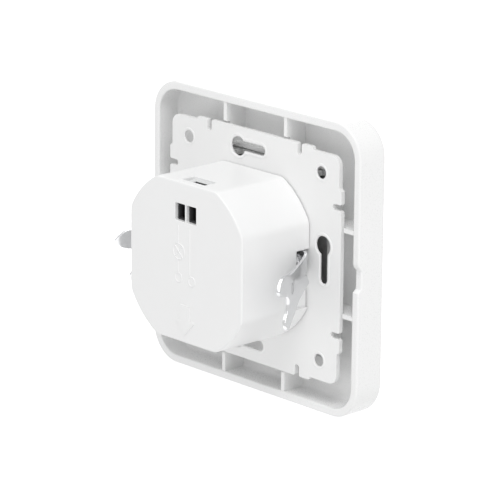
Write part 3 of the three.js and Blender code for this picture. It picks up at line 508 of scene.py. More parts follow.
# %% A raised bead
def bead(path, width, height, y, closed=True, steps=6):
    """A raised line on a face that looks towards +Y.

    Across the path it is half an ellipse: width / 2 x cos(a) sideways and height x sin(a) upwards for a
    from 0 to pi, sunk by a twentieth of a millimetre so that it leaves no gap. The ends of an open line
    shrink to a point over half a width.
    """
    sunk = 0.05
    path = np.asarray(path, float)
    ahead = np.roll(path, -1, axis=0) - np.roll(path, 1, axis=0)
    if not closed:
        ahead[0], ahead[-1] = path[1] - path[0], path[-1] - path[-2]
    ahead /= np.linalg.norm(ahead, axis=1, keepdims=True)
    across = np.column_stack([-ahead[:, 1], ahead[:, 0]])
    size = np.ones(len(path))
    if not closed:
        path = np.vstack([path[0] - ahead[0] * width / 2, path, path[-1] + ahead[-1] * width / 2])
        across = np.vstack([across[0], across, across[-1]])
        size = np.concatenate([[0.05], size, [0.05]])
    angle = np.linspace(0, np.pi, steps + 1)
    side = width / 2 * np.cos(angle)[None, :] * size[:, None]
    up = (height + sunk) * np.sin(angle)[None, :] * size[:, None] - sunk
    x = path[:, :1] + across[:, :1] * side
    z = path[:, 1:] + across[:, 1:] * side
    return outward(grid_mesh(x, y + up, z, rows_close=closed))


# %% [markdown]
# ## The cover frame
# The frame is one moulding: a round-cornered rim, a flat front with a square opening, a collar round
# that opening, and ribs across the hollow back. One profile of half width and depth, carried round the
# rounded square, gives everything but the ribs and the latch pads, which are sunk into the walls. The
# small notch in the rim, where a screwdriver lifts the frame, is a dip of the same grid.

# %% Cover frame
FRAME_LOW, FRAME_HIGH = box_mm("cover_frame")
FRAME_HALF = FRAME_HIGH[0]
FRAME_FRONT = FRAME_LOW[1]
FRAME_RADIUS, FRAME_WALL, FRAME_PANEL = 10.35, 2.55, 2.8
KEY_HALF = box_mm("push_key")[1][0]
KEY_RADIUS, FIT = 1.4, 0.45
OPENING_HALF = KEY_HALF + FIT
COLLAR_HALF = OPENING_HALF + 1.5
COLLAR_REAR = FRAME_FRONT + FRAME_PANEL + 3.5
WELL_HALF = FRAME_HALF - FRAME_WALL
WELL_FLOOR = FRAME_FRONT + FRAME_PANEL
RIB_MIDDLE, RIB_HALF, RIB_TOP = 12.9, 0.65, -0.4
NOTCH_MIDDLE, NOTCH_HALF, NOTCH_DEPTH = -0.7, 3.4, 1.3


def cover_frame():
    """The profile's corners in (half width, y), softened, carried round the rounded square.

    The corner radius follows the half width, so each wall keeps its thickness round the corner. The
    notch lowers the rim by its depth times a smooth step of the distance from the notch's middle.
    """
    profile = softened(
        [(FRAME_HALF, 0), (FRAME_HALF, FRAME_FRONT), (OPENING_HALF, FRAME_FRONT), (OPENING_HALF, COLLAR_REAR),
         (COLLAR_HALF, COLLAR_REAR), (COLLAR_HALF, WELL_FLOOR), (WELL_HALF, WELL_FLOOR), (WELL_HALF, 0)],
        [0.6, 1.9, 0.4, 0.2, 0.2, 0.4, 1.4, 0.5],
    )
    half, y = profile.T
    opening_radius = KEY_RADIUS + FIT
    radius = np.interp(
        half, [OPENING_HALF, COLLAR_HALF, WELL_HALF, FRAME_HALF],
        [opening_radius, opening_radius + 1.5, FRAME_RADIUS - FRAME_WALL, FRAME_RADIUS],
    )
    x, z = square_ring(half, radius, arc=14, flat=72)
    depth = np.repeat(y[:, None], x.shape[1], axis=1)
    along = np.clip((NOTCH_HALF + 0.5 - np.abs(z - NOTCH_MIDDLE)) / 1.0, 0, 1)
    dip = NOTCH_DEPTH * along**2 * (3 - 2 * along)
    at_rim = (x < -WELL_HALF + 0.3) & (depth > -1.0)
    depth = np.where(at_rim, depth - dip, depth)
    shell = outward(grid_mesh(x, depth, z, rows_close=True))
    return stacked(shell, *frame_ribs(), *latch_pads())


def latch_pads():
    """Low pads on the inside of the two side walls, where the plate's edge latches."""
    pads = []
    for side in (1, -1):
        for z_low, z_high in ((5.4, 9.6), (-5.6, -1.4)):
            face, root = side * (WELL_HALF - 0.5), side * (WELL_HALF + 0.4)
            pads.append(soft_block((face, -6.4, z_low), (root, -2.2, z_high), 0.2))
    return pads


def frame_ribs():
    """Two ribs a side: a stepped outline in (distance from the middle, y), filled and given a thickness.

    A rib is low where the plate lies over it and nearly as high as the rim between the plate and the wall.
    """
    plate_low, plate_high = box_mm("mounting_plate")
    under_plate = plate_low[1] - FIT
    ribs = []
    for across, along in ((0, 2), (2, 0)):
        step = plate_high[across] + FIT
        sunk, buried = WELL_FLOOR - 0.8, WELL_HALF + 0.8
        outline = softened(
            [(COLLAR_HALF - 0.8, sunk), (buried, sunk), (buried, RIB_TOP), (step, RIB_TOP),
             (step, under_plate), (COLLAR_HALF - 0.8, under_plate)],
            [0.1, 0.1, 0.1, 0.5, 0.5, 0.1], 3,
        )
        points, triangles = filled(outline, (), 2.0)
        for side in (1, -1):
            for middle in (RIB_MIDDLE, -RIB_MIDDLE):
                place = np.zeros((len(points), 3))
                place[:, across], place[:, along], place[:, 1] = side * points[:, 0], middle, points[:, 1]
                ribs.append(with_thickness(outward(mesh_of(place, triangles)), 2 * RIB_HALF, 0.15))
    return ribs


piece("cover_frame_moulding", cover_frame(), "frame_white", stands_for=["cover_frame"])

# %% [markdown]
# ## The push key
# The key is a square cap with a barely crowned face. Its rim, its hollow underside and its crown come
# from one profile again. The light pipe's hole is cut afterwards, and the lugs, the hinge pins and the
# rod that pushes the switch are added.

# %% Push key
KEY_FRONT = box_mm("push_key")[0][1]
KEY_SKIN, KEY_WALL, KEY_DEPTH = 2.0, 1.2, 3.8
KEY_CROWN = 0.15
LIGHT_Z = np.mean([corner[2] for corner in box_mm("light_pipe")])
LIGHT_RADIUS = 1.25 + 0.3
PIN_X, PIN_Y, PIN_Z = 19.0, -8.2, KEY_HALF - 3.9


def push_key():
    """The cap's profile from the middle of the face to the middle of the underside, carried round.

    The face falls back by crown x (r / half)^2, where r is the half width of the row, and the fall fades
    out over the first millimetre of the rounded edge.
    """
    inner, underside = KEY_HALF - KEY_WALL, KEY_FRONT + KEY_SKIN
    edge = softened(
        [(KEY_HALF * 0.5, KEY_FRONT), (KEY_HALF, KEY_FRONT), (KEY_HALF, KEY_FRONT + KEY_DEPTH),
         (inner, KEY_FRONT + KEY_DEPTH), (inner, underside), (KEY_HALF * 0.5, underside)],
        [0.01, 1.1, 0.3, 0.3, 0.5, 0.01],
    )[6:-6]
    face = np.linspace(0.02, 0.92, 8) * KEY_HALF
    under = np.linspace(0.9, 0.02, 4) * inner
    half = np.concatenate([face, edge[:, 0], under])
    y = np.concatenate([np.full(len(face), KEY_FRONT), edge[:, 1], np.full(len(under), underside)])
    on_face = np.arange(len(y)) < len(face) + 7
    y = y + np.where(on_face, KEY_CROWN * (half / KEY_HALF) ** 2 * (1 - (y - KEY_FRONT)), 0)
    radius = np.minimum(half * 0.9, KEY_RADIUS * np.clip(half / KEY_HALF, 0.05, 1))
    x, z = square_ring(half, radius, arc=6, flat=24)
    return capped(grid_mesh(x, y[:, None], z))


def rod_y(x, z, radius, y0, y1, count=32):
    """A closed rod along Y."""
    return prism(disc(x, z, radius, count), y0, y1)


def key_fittings():
    """Two lugs with the hinge pins through them, and the rod that pushes the switch."""
    underside = KEY_FRONT + KEY_SKIN - 0.5
    upright_to_across = Matrix(((0, 1, 0, 0), (0, 0, 1, PIN_Y * MM), (1, 0, 0, 0), (0, 0, 0, 1)))
    lugs, pins = [], []
    for sign in (1, -1):
        x = sign * PIN_X
        lugs.append(soft_block((x - 1, underside, PIN_Z - 1.3), (x + 1, PIN_Y + 0.8, PIN_Z + 1.3)))
        pin = rod_y(PIN_Z, 0, 1.0, x - 2.5, x + 2.5, 24)
        pin.transform(upright_to_across)
        pins.append(outward(pin))
    switch_low, switch_high = box_mm("switch_plunger")
    pusher = rod_y(0, (switch_low[2] + switch_high[2]) / 2, 1.4, underside, switch_low[1] - 0.3)
    return [*lugs, *pins, pusher]


light_hole = rod_y(0, LIGHT_Z, LIGHT_RADIUS, KEY_FRONT - 1, KEY_FRONT + 3)
key_mesh = stacked(combined(push_key(), [light_hole], "DIFFERENCE"), *key_fittings())
piece("push_key_cap", key_mesh, "key_white", "push_key", ["push_key"])

# %% [markdown]
# ## The front chassis
# Behind the key lies a shallow tray that carries the key's springs and the logic board. It stays as it
# is, but its floor is relieved behind the plate's keyholes and corner holes, so that the fixing screws
# have room. The relief is cut out of a merged copy of the fixed model's mesh.

# %% Front chassis
POCKET_RIM = 2.9  # what stays of the tray's depth in front of a pocket
POCKET_INNER = 23.4
POCKET_SPAN = (-6.5, 10.5)  # along a side, to both ends of a keyhole


def front_chassis():
    """A merged copy of the tray, less a shallow pocket behind each keyhole and each corner hole.

    The pockets end short of the tray's rim, which closes the gap round the key.
    """
    mesh = frame["nodes"]["front_chassis"].data.copy()
    low, high = box_mm("front_chassis")
    outward(mesh)
    bottom, top = low[1] + POCKET_RIM, high[1] + 1
    inner, outer = POCKET_INNER, high[0] + 1
    pockets = []
    for side in (1, -1):
        along, beyond = POCKET_SPAN
        pockets.append(soft_block((along, bottom, side * inner), (beyond, top, side * outer), 0.4))
        pockets.append(soft_block((side * inner, bottom, along), (side * outer, top, beyond), 0.4))
        for other in (1, -1):
            start, end = (side * inner, bottom, other * inner), (side * outer, top, other * outer)
            pockets.append(soft_block(start, end, 0.4))
    return combined(mesh, pockets, "DIFFERENCE")


piece("front_chassis_tray", front_chassis(), "chassis_white", stands_for=["front_chassis"], crease=32)

# %% [markdown]
# ## The mounting plate
# The plate is a flat sheet with notched edges, stepped corners, a keyhole slot on each side and a round
# hole in each corner. Its outline is one quarter, mirrored, and its holes are loops of their own.

# %% Mounting plate
PLATE_LOW, PLATE_HIGH = box_mm("mounting_plate")
PLATE_THICKNESS = PLATE_HIGH[1] - PLATE_LOW[1]
PLATE_STEP, STEP_START, PLATE_CORNER = 1.0, 24.6, 3.0
EDGE_NOTCH, EDGE_NOTCH_HALF, EDGE_NOTCH_DEPTH = 19.3, 0.9, 3.6
SLOT_RADIUS, SLOT_HALF, SLOT_TAIL = 30.0, 1.5, 4.8
HEAD_RADIUS, HEAD_OFFSET, HEAD_SHIFT = 2.95, 6.7, 0.4
CORNER_HOLE, CORNER_HOLE_RADIUS = 28.4, 1.9
PLATE_WINDOW_HALF = 15.5
LIP = 0.5  # thickness left round a hole, which is hollowed from the front
HOLLOW_WIDER, HAIR_SMALLER = 1.1, 0.9985


def plate_outline():
    """A quarter from the middle of the right side to the middle of the top, then its mirror images."""
    def stretch(half):
        """(along, out) pairs of one side from its middle to the corner, with the notch's bottom round."""
        bend = np.linspace(0, np.pi, 7)
        bottom = np.column_stack([
            EDGE_NOTCH - EDGE_NOTCH_HALF * np.cos(bend),
            half - EDGE_NOTCH_DEPTH + EDGE_NOTCH_HALF * (1 - np.sin(bend)),
        ])
        return np.vstack([
            [(EDGE_NOTCH - EDGE_NOTCH_HALF - 0.4, half), (EDGE_NOTCH - EDGE_NOTCH_HALF, half - 0.4)],
            bottom,
            [(EDGE_NOTCH + EDGE_NOTCH_HALF, half - 0.4), (EDGE_NOTCH + EDGE_NOTCH_HALF + 0.4, half),
             (STEP_START - 0.4, half), (STEP_START, half - 0.35), (STEP_START + 0.15, half - 0.85),
             (STEP_START + 0.6, half - PLATE_STEP)],
        ])
    right = stretch(PLATE_HIGH[0])[:, ::-1]
    top = stretch(PLATE_HIGH[2])[::-1]
    turned = np.linspace(0, np.pi / 2, 9)
    corner = np.column_stack([
        PLATE_HIGH[0] - PLATE_STEP - PLATE_CORNER * (1 - np.cos(turned)),
        PLATE_HIGH[2] - PLATE_STEP - PLATE_CORNER * (1 - np.sin(turned)),
    ])
    quarter = np.vstack([right, corner, top])
    flip = quarter[::-1]
    return np.vstack([quarter, flip * (-1, 1), quarter * (-1, -1), flip * (1, -1)])


def keyhole(side, grow=0.0):
    """A slot whose one end widens to a screw head, as a loop; side is 0 to 3 for top, right, bottom, left.

    The loop runs along the slot's two edges, round its narrow end, and round the wide end between the
    two angles at which the circle meets the slot's edges.
    """
    narrow, wide = SLOT_HALF + grow, HEAD_RADIUS + grow
    end = -SLOT_TAIL + SLOT_HALF
    tail = np.linspace(np.pi / 2, 3 * np.pi / 2, 11)
    tail_points = np.column_stack([end + narrow * np.cos(tail), narrow * np.sin(tail)])
    low = np.arcsin((-narrow + HEAD_SHIFT) / wide)
    high = np.arcsin((narrow + HEAD_SHIFT) / wide)
    head = np.linspace(-np.pi - low, np.pi - high, 25)
    head_points = np.column_stack([HEAD_OFFSET + wide * np.cos(head), -HEAD_SHIFT + wide * np.sin(head)])
    loop = np.vstack([tail_points, head_points])
    along, out = loop[:, 0], SLOT_RADIUS + loop[:, 1]
    return np.column_stack({0: (along, out), 1: (out, along), 2: (along, -out), 3: (-out, along)}[side])


def mounting_plate():
    """Two sheets, one behind the other, and a bead round each hole.

    The rear sheet is a thin lip with the true holes; the front sheet has them wider, so each hole is
    hollow behind its lip. The front sheet's outline is a hair smaller, so that no two faces coincide.
    """
    corner_places = [(x * CORNER_HOLE, z * CORNER_HOLE) for x in (1, -1) for z in (1, -1)]
    window = rectangle(0, 0, PLATE_WINDOW_HALF, PLATE_WINDOW_HALF, 3, steps=5)

    def sheet(shrink, wider, y_front, y_rear, edge):
        """The outline times a factor, less the window and the holes made wider, given its thickness."""
        holes = [window] + [disc(x, z, CORNER_HOLE_RADIUS + wider) for x, z in corner_places]
        holes += [keyhole(side, wider) for side in range(4)]
        points, triangles = filled(plate_outline() * shrink, holes, 2.5)
        middle = np.full(len(points), (y_front + y_rear) / 2)
        flat = mesh_of(np.column_stack([points[:, 0], middle, points[:, 1]]), triangles)
        return with_thickness(outward(flat), y_rear - y_front, edge)

    lip = sheet(1.0, 0.0, -LIP, 0.0, 0.15)
    rest = sheet(HAIR_SMALLER, HOLLOW_WIDER, -PLATE_THICKNESS, -LIP + 0.2, 0.12)
    beads = [bead(keyhole(side, 0.55), 0.9, 0.16, 0.0) for side in range(4)]
    beads += [bead(disc(x, z, CORNER_HOLE_RADIUS + 0.5), 0.8, 0.12, 0.0) for x, z in corner_places]
    return stacked(lip, rest, *beads)


piece("mounting_plate_sheet", mounting_plate(), "plate_white", stands_for=["mounting_plate"])

# %% [markdown]
# ## The rear housing
# The housing is a deep cup: round, but cut by four flats so that it clears the claws. Its wall and its
# floor come from one profile of (inset, depth) pairs on the flat-sided ring. The window, the wire
# entries and the claw bays are cut out of that cup with exact booleans, as their cores are in the mould.

# %% The cup
HOUSING_LOW, HOUSING_HIGH = box_mm("rear_housing")
HOUSING_HALF, HOUSING_REAR, HOUSING_FRONT = HOUSING_HIGH[0], HOUSING_HIGH[1], HOUSING_LOW[1]
HOUSING_RADIUS = HOUSING_HALF + 3.15
HOUSING_WALL, HOUSING_FLOOR = 1.6, 2.0


def housing_cup():
    """The cup's profile from the middle of its back, round the rim, to the middle of the floor inside.

    A row's ring is the flat-sided ring less the inset. Towards the middle the rings shrink, and one face
    closes the smallest.
    """
    wall, rear, floor = HOUSING_WALL, HOUSING_REAR, HOUSING_REAR - HOUSING_FLOOR
    edge = softened(
        [(6, rear), (0, rear), (0, HOUSING_FRONT), (wall, HOUSING_FRONT), (wall, floor), (6, floor)],
        [0.01, 0.55, 0.25, 0.25, 0.8, 0.01], steps=6,
    )[7:-7]
    inset = np.concatenate([[20, 12, 4], edge[:, 0], [4, 12, 20]])
    y = np.concatenate([[rear] * 3, edge[:, 1], [floor] * 3])
    x, z = flat_sided_ring(HOUSING_HALF - inset, HOUSING_RADIUS - inset)
    return outward(capped(grid_mesh(x, y[:, None], z)))


# %% What is cut out of the cup
WINDOW_HALF, WINDOW_BOTTOM = 5.0, 20.0
WINDOW_FRONT, WINDOW_REAR = HOUSING_REAR - 7.7, HOUSING_REAR - 3.0
WIRE_HALF, WIRE_WEB = 2.15, 0.5
WIRE_LOW, WIRE_HIGH = 12.5, 17.7
BAY_LOW, BAY_HIGH, BAY_REAR, BAY_INNER = -2.05, 5.05, 5.2, 16.55
RECESS_LOW, RECESS_HIGH, RECESS_DEPTH = -13.1, 4.7, 1.2


def funnel(centre, half, along, mouth, depth, flare=0.25, corner=0.25):
    """A cutter that is a rounded rectangle with a flared mouth.

    Its rings have the half sizes half + flare outside the face and at it, and then shrink to half, which
    they keep down to the depth. The axis that it enters by is along, and the face's place on it is mouth.
    """
    sign = 1 if mouth > depth else -1
    rows = [
        (flare, mouth + sign * 1.0),
        (flare, mouth + sign * 0.01),
        (flare * 0.3, mouth - sign * flare * 0.4),
        (0, mouth - sign * flare),
        (0, depth),
    ]
    others = [axis for axis in range(3) if axis != along]
    rings = []
    for grow, place in rows:
        ring = rectangle(centre[0], centre[1], half[0] + grow, half[1] + grow, corner + grow * 0.5)
        points = np.zeros((len(ring), 3))
        points[:, others[0]], points[:, others[1]], points[:, along] = ring[:, 0], ring[:, 1], place
        rings.append(points)
    return capped(mesh_of(np.vstack(rings), wrapped(len(rings), len(rings[0]))))


def housing_cores():
    """The window in the top flat, the two wire entries in the back, and a bay and recess for each claw."""
    window_centre = (0, (WINDOW_FRONT + WINDOW_REAR) / 2)
    window_half = (WINDOW_HALF, (WINDOW_REAR - WINDOW_FRONT) / 2)
    cores = [funnel(window_centre, window_half, 2, HOUSING_HALF, WINDOW_BOTTOM, 0.2)]
    bay_face = HOUSING_HALF - RECESS_DEPTH
    bays = (
        (BAY_LOW, BAY_HIGH, bay_face, BAY_INNER, 0.15),
        (RECESS_LOW, RECESS_HIGH, HOUSING_HALF, bay_face, 0.25),
    )
    for sign in (1, -1):
        wire_centre = (sign * (WIRE_WEB / 2 + WIRE_HALF), (WIRE_LOW + WIRE_HIGH) / 2)
        wire_half = (WIRE_HALF - 0.05, (WIRE_HIGH - WIRE_LOW) / 2)
        cores.append(funnel(wire_centre, wire_half, 1, HOUSING_REAR, HOUSING_REAR - 4, 0.2))
        for low, high, mouth, depth, flare in bays:
            centre = ((BAY_REAR - 1) / 2, (low + high) / 2)
            half = ((BAY_REAR + 1) / 2, (high - low) / 2)
            cores.append(funnel(centre, half, 0, sign * mouth, sign * depth, flare))
    return cores


def claw_bay_walls():
    """Blocks behind each bay and recess, which keep the boards apart from the claws."""
    wall, outer = 1.1, HOUSING_HALF - 0.6
    recess_inner = HOUSING_HALF - RECESS_DEPTH - wall
    walls = []
    for sign in (1, -1):
        start = (sign * (BAY_INNER - wall), HOUSING_FRONT, BAY_LOW - wall)
        walls.append(soft_block(start, (sign * outer, 9.15, BAY_HIGH + wall), 0.3))
        start = (sign * recess_inner, HOUSING_FRONT, RECESS_LOW - wall)
        walls.append(soft_block(start, (sign * outer, BAY_REAR + wall, BAY_LOW), 0.3))
    return walls


cup = combined(housing_cup(), claw_bay_walls(), "UNION")
cup = combined(cup, housing_cores(), "DIFFERENCE")
print("cup has", len(cup.polygons), "faces")

# %% [markdown]
# ## Signs on the housing's back
# The mould has a few shallow engravings, which stand up on the moulding: a lamp sign with its wire, a
# second wire beside it, a ring at the end of each, and an arrow that says which way is down. They are
# generic wiring signs and carry no lettering. Each is a raised bead or a thin raised plateau.

# %% Raised signs
def raised_signs():
    """Beads for the lamp sign, the rings at the wires' ends, and the wires."""
    lamp_x, lamp_z, lamp_radius = 2.8, 3.2, 2.4
    reach = lamp_radius * math.sqrt(0.5)
    rings = [disc(lamp_x, lamp_z, lamp_radius, 40), disc(2.9, -4.7, 1.4, 28), disc(-2.8, -4.9, 1.4, 28)]
    lines = [
        ((lamp_x - reach, lamp_z - reach), (lamp_x + reach, lamp_z + reach)),
        ((lamp_x - reach, lamp_z + reach), (lamp_x + reach, lamp_z - reach)),
        ((3.1, 11.0), (3.1, 5.8)),
        ((3.1, 0.6), (3.1, -2.8)),
        ((-1.9, 10.6), (-1.9, -2.9)),
    ]
    wide, high = 0.42, 0.16
    beads = [bead(ring, wide, high, HOUSING_REAR) for ring in rings]
    return beads + [bead(np.linspace(*line, 12), wide, high, HOUSING_REAR, closed=False) for line in lines]


def down_arrow():
    """A thin plateau in the outline of an arrow, sunk a little into the back so that it leaves no gap."""
    corners = [
        (-1.95, -12.6), (-1.95, -17.3), (-4.1, -17.4), (0.1, -21.7),
        (3.9, -17.4), (2.15, -17.3), (2.15, -12.6),
    ]
    points, triangles = filled(softened(corners, [0.15] * len(corners), 2), (), 1.0)
    face = np.insert(points, 1, HOUSING_REAR, axis=1)
    return with_thickness(outward(mesh_of(face, triangles)), 0.5, 0.12)


piece("rear_housing_moulding", cup, "housing_white", stands_for=["rear_housing"], crease=32)
piece("housing_signs", stacked(*raised_signs(), down_arrow()), "housing_white")

# %% [markdown]
# ## The claws
# A claw is stamped from zinc-plated sheet and bent once: the short arm lies in the housing's bay and
# carries the thread of the claw screw, and the toothed blade lies along the housing's side. It is drawn
# flat, filled, and then every point is rolled onto the bend, so the sheet keeps its thickness.

# %% The bend
PIVOT_X, PIVOT_Y = 17.5, 1.4
ARM_TILT, BLADE_SPREAD = math.radians(10), math.radians(24)
CLAW_THICKNESS = 1.0
ARM_REACH = (HOUSING_HALF + 1.82 - PIVOT_X) / math.cos(ARM_TILT)
BEND_X, BEND_Y = PIVOT_X + ARM_REACH * math.cos(ARM_TILT), PIVOT_Y + ARM_REACH * math.sin(ARM_TILT)
BEND_RADIUS = 3.2
BLADE_START = 2.0
ARM_LOW, ARM_HIGH = -1.6, 4.6


def rolled(s):
    """The place and the outward direction of the sheet's middle at a distance s from the pivot.

    The path is straight along the arm, an arc of the bend radius through the angle between arm and
    blade, and straight along the blade. The arc leaves and meets the straights at tan(angle / 2) x radius
    from their crossing.
    """
    turn = np.pi / 2 - BLADE_SPREAD - ARM_TILT
    cut = BEND_RADIUS * math.tan(turn / 2)
    arm_end = ARM_REACH - cut
    arc = np.clip(s - arm_end, 0, BEND_RADIUS * turn)
    beyond = np.maximum(s - arm_end - BEND_RADIUS * turn, 0)
    on_arm = np.minimum(s, arm_end)
    heading = ARM_TILT + arc / BEND_RADIUS
    x = PIVOT_X + on_arm * math.cos(ARM_TILT) + BEND_RADIUS * (np.sin(heading) - math.sin(ARM_TILT))
    y = PIVOT_Y + on_arm * math.sin(ARM_TILT) - BEND_RADIUS * (np.cos(heading) - math.cos(ARM_TILT))
    return x + beyond * np.cos(heading), y + beyond * np.sin(heading), np.sin(heading), -np.cos(heading)


def drawn(start, *strokes):
    """An outline from straight strokes (end) and bent strokes (control, end).

    A bent stroke is the parabola (1-u)^2 start + 2u(1-u) control + u^2 end.
    """
    points = [np.array([start], float)]
    for stroke in strokes:
        here, end = points[-1][-1], np.array(stroke[-1], float)
        control = np.array(stroke[0], float) if len(stroke) == 2 else (here + end) / 2
        count = max(2, int(np.linalg.norm(end - here) / 0.45))
        u = np.linspace(0, 1, count + 1)[1:, None]
        points.append((1 - u) ** 2 * here + 2 * u * (1 - u) * control + u**2 * end)
    return np.vstack(points)


def claw_outline():
    """The flat claw in (distance across the blade, height): the arm on the left of the bend, the toothed
    blade on its right, and a slit under the arm so that the blade's lower part stays flat."""
    pivot = BLADE_START - ARM_REACH
    return drawn(
        (pivot - 0.5, ARM_HIGH - 0.6), ((pivot - 0.5, ARM_LOW + 0.6),),
        ((pivot - 0.5, ARM_LOW), (pivot + 0.1, ARM_LOW)), ((4.0, ARM_LOW),), ((4.4, -1.8), (4.0, -2.0)),
        ((3.2, -2.0),), ((2.9, -2.05), (2.7, -2.4)), ((1.3, -4.5),), ((1.1, -5.0), (1.6, -5.1)),
        ((7.4, -7.0), (10.6, -9.4)), ((12.6, -12.2), (16.4, -14.3)), ((19.0, -14.9), (20.2, -13.0)),
        ((20.1, -12.0), (19.0, -10.8)), ((17.0, -9.0), (16.4, -7.0)), ((16.2, -4.0), (20.4, -3.9)),
        ((23.6, -3.4), (24.6, -1.6)), ((24.4, -0.6), (22.4, 0.9)), ((20.6, 2.5), (17.0, 1.6)),
        ((14.0, 1.2), (8.6, 2.5)), ((4.4, 3.2), (2.8, ARM_HIGH - 0.3)), ((2.2, ARM_HIGH), (1.4, ARM_HIGH)),
        ((pivot + 0.1, ARM_HIGH),), ((pivot - 0.5, ARM_HIGH), (pivot - 0.5, ARM_HIGH - 0.6)),
    )[:-1]


# %% Stamp and bend a claw
def claw(sign):
    """The filled outline laid onto its two planes, with a pressed lance and slightly dished tips.

    Points above the slit follow the rolled path; points below it lie flat on the blade's plane. The lance
    is a bell of height x exp(-(a / width)^4 - (b / length)^4), and the tips lift by curl x d^2, with d the
    distance past a line across each tooth.
    """
    slot_start = BLADE_START - 2.5
    slot_corners = [(slot_start, 3.2), (slot_start - 2.3, 3.2), (slot_start - 2.3, -0.2), (slot_start, -0.2)]
    slot = softened(slot_corners, [1.0] * 4)
    points, triangles = filled(claw_outline(), [slot], 0.55)
    across, z = points.T
    x, y, out_x, out_y = rolled(across + ARM_REACH - BLADE_START)
    flat = z < ARM_LOW - 0.05
    blade_x, blade_y = math.sin(BLADE_SPREAD), math.cos(BLADE_SPREAD)
    x = np.where(flat, BEND_X + (across - BLADE_START) * blade_x, x)
    y = np.where(flat, BEND_Y + (across - BLADE_START) * blade_y, y)
    out_x, out_y = np.where(flat, blade_y, out_x), np.where(flat, -blade_x, out_y)
    upper = np.maximum(across - 22.1, 0) * (z > -5)
    lower = np.maximum((across - 18.9) * 0.6 - (z + 10.2) * 0.8, 0) * (z < -7)
    lance = 0.45 * np.exp(-((across - 13.6) / 0.8) ** 4 - ((z + 3.1) / 1.9) ** 4)
    lift = 0.06 * upper**2 + 0.07 * lower**2 + lance
    sheet = mesh_of(np.column_stack([sign * (x + out_x * lift), y + out_y * lift, z]), triangles)
    return with_thickness(outward(sheet), CLAW_THICKNESS, 0.2)


for side, sign in (("right", 1), ("left", -1)):
    piece(f"claw_{side}_stamping", claw(sign), "zinc", f"claw_{side}", [f"claw_{side}"], crease=50)

# %% [markdown]
# ## The terminal behind the openings
# Through the two wire entries one looks into the spouts of the push-in terminal, and through the window in
# the top onto the light release bar. Only what can be looked at is refined: thin-walled spouts that reach
# into the entries, and a bar with a lever notch at its rear edge. The spouts, the terminal block and the
# block in the lever notch are coloured near black as painted shade, for the shade inside the housing.

# %% Spouts and release bar
LEVER_NOTCH_X, LEVER_NOTCH_DEPTH = 2.3, 2.7


def wire_spout(sign):
    """A thin-walled square tube: rings of (inset, y) from the mouth's outside, over its edge, down inside."""
    terminal_rear = box_mm("terminal_block")[1][1]
    mouth, root = HOUSING_REAR - 1.15, terminal_rear - 0.2
    rows = [(0.0, root), (0.0, mouth - 0.15), (0.08, mouth), (0.3, mouth), (0.45, mouth - 0.35), (0.45, root)]
    centre = (sign * (WIRE_WEB / 2 + WIRE_HALF), (WIRE_LOW + WIRE_HIGH) / 2)
    rings = []
    for inset, y in rows:
        ring = rectangle(*centre, WIRE_HALF - 0.07 - inset, 2.58 - inset, 0.2)
        rings.append(np.insert(ring, 1, y, axis=1))
    points = np.vstack(rings)
    return outward(mesh_of(points, wrapped(len(rows), len(rings[0]), rows_close=True)))


def release_bar():
    """Two soft blocks: the bar, and the part of it that reaches back beside the lever notch."""
    low, high = box_mm("release_bar")
    notch_y = high[1] - LEVER_NOTCH_DEPTH
    bar = soft_block(low, (high[0], notch_y, high[2]), 0.2)
    beside = soft_block((LEVER_NOTCH_X, notch_y - 0.6, low[2]), high - (0, 0, 0.02), 0.2)
    return stacked(bar, beside)


def lever_slot_painted_shade():
    """A thin block on the front wall of the bar's notch, where a screwdriver presses, coloured near black as
    painted shade in the notch.
    """
    low, high = box_mm("release_bar")
    notch_y = high[1] - LEVER_NOTCH_DEPTH
    start = (low[0] + 0.05, notch_y - 0.2, high[2] - 2.7)
    return soft_block(start, (LEVER_NOTCH_X - 0.05, notch_y + 0.3, high[2] - 0.12), 0.08)


spouts = stacked(wire_spout(1), wire_spout(-1))
# The block in the lever notch is coloured near black: painted shade.
piece("lever_slot_painted_shade", lever_slot_painted_shade(), "terminal_grey", "release_bar", finish="terminal_dark")
# The spouts are coloured near black instead of their grey slot: painted shade inside the wire entries.
piece("wire_spouts", spouts, "terminal_grey", crease=35, finish="terminal_dark")
piece("release_bar_moulding", release_bar(), "terminal_grey", "release_bar", ["release_bar"])

# %% [markdown]
# ## Screws, springs and the choke's winding
# A screw thread is a ridge that climbs one pitch with every turn. On a grid of depth and angle that is a
# single formula, so a screw is one surface from the middle of its head to its tip. A spring and the winding
# on the choke are wires: a circle carried along a path. The winding goes round and round the ring's section
# while it travels round the ring.

# %% Screws
def screw(x, z, shank, head, low, high, head_height, pitch):
    """A pan-head screw along Y.

    The radius is the profile's radius less a fifth of the shank's x ridge, where ridge runs from 1 to 0 and
    back with (y / pitch - angle / 360 degrees) and fades at both ends of the thread.
    """
    seat = low + head_height
    thread_y = np.arange(seat + 0.1, high - 0.5, pitch / 6)
    head_y = [low, low, low + 0.1, low + 0.45, seat - 0.15, seat, seat]
    head_radius = [head * 0.04, head * 0.75, head * 0.9, head, head, head * 0.95, shank]
    y = np.concatenate([head_y, thread_y, [high - 0.3, high]])
    radius = np.concatenate([head_radius, np.full(len(thread_y), shank), [shank * 0.6, shank * 0.1]])
    angle = np.linspace(0, 2 * np.pi, 28, endpoint=False)[None, :]
    climb = y[:, None] / pitch - angle / (2 * np.pi)
    ridge = np.abs(2 * (climb - np.floor(climb)) - 1)
    fade = np.clip((y - seat) / 0.8, 0, 1) * np.clip((high - y) / 0.9, 0, 1)
    reach = radius[:, None] - 0.2 * shank * ridge * fade[:, None]
    body = capped(grid_mesh(x + reach * np.cos(angle), y[:, None], z + reach * np.sin(angle)))
    long, slim = head * 0.62, 0.32
    cross = [
        soft_block((x - half_x, low - 1, z - half_z), (x + half_x, low + 1.1, z + half_z), 0.1)
        for half_x, half_z in ((long, slim), (slim, long))
    ]
    return combined(outward(body), cross, "DIFFERENCE")


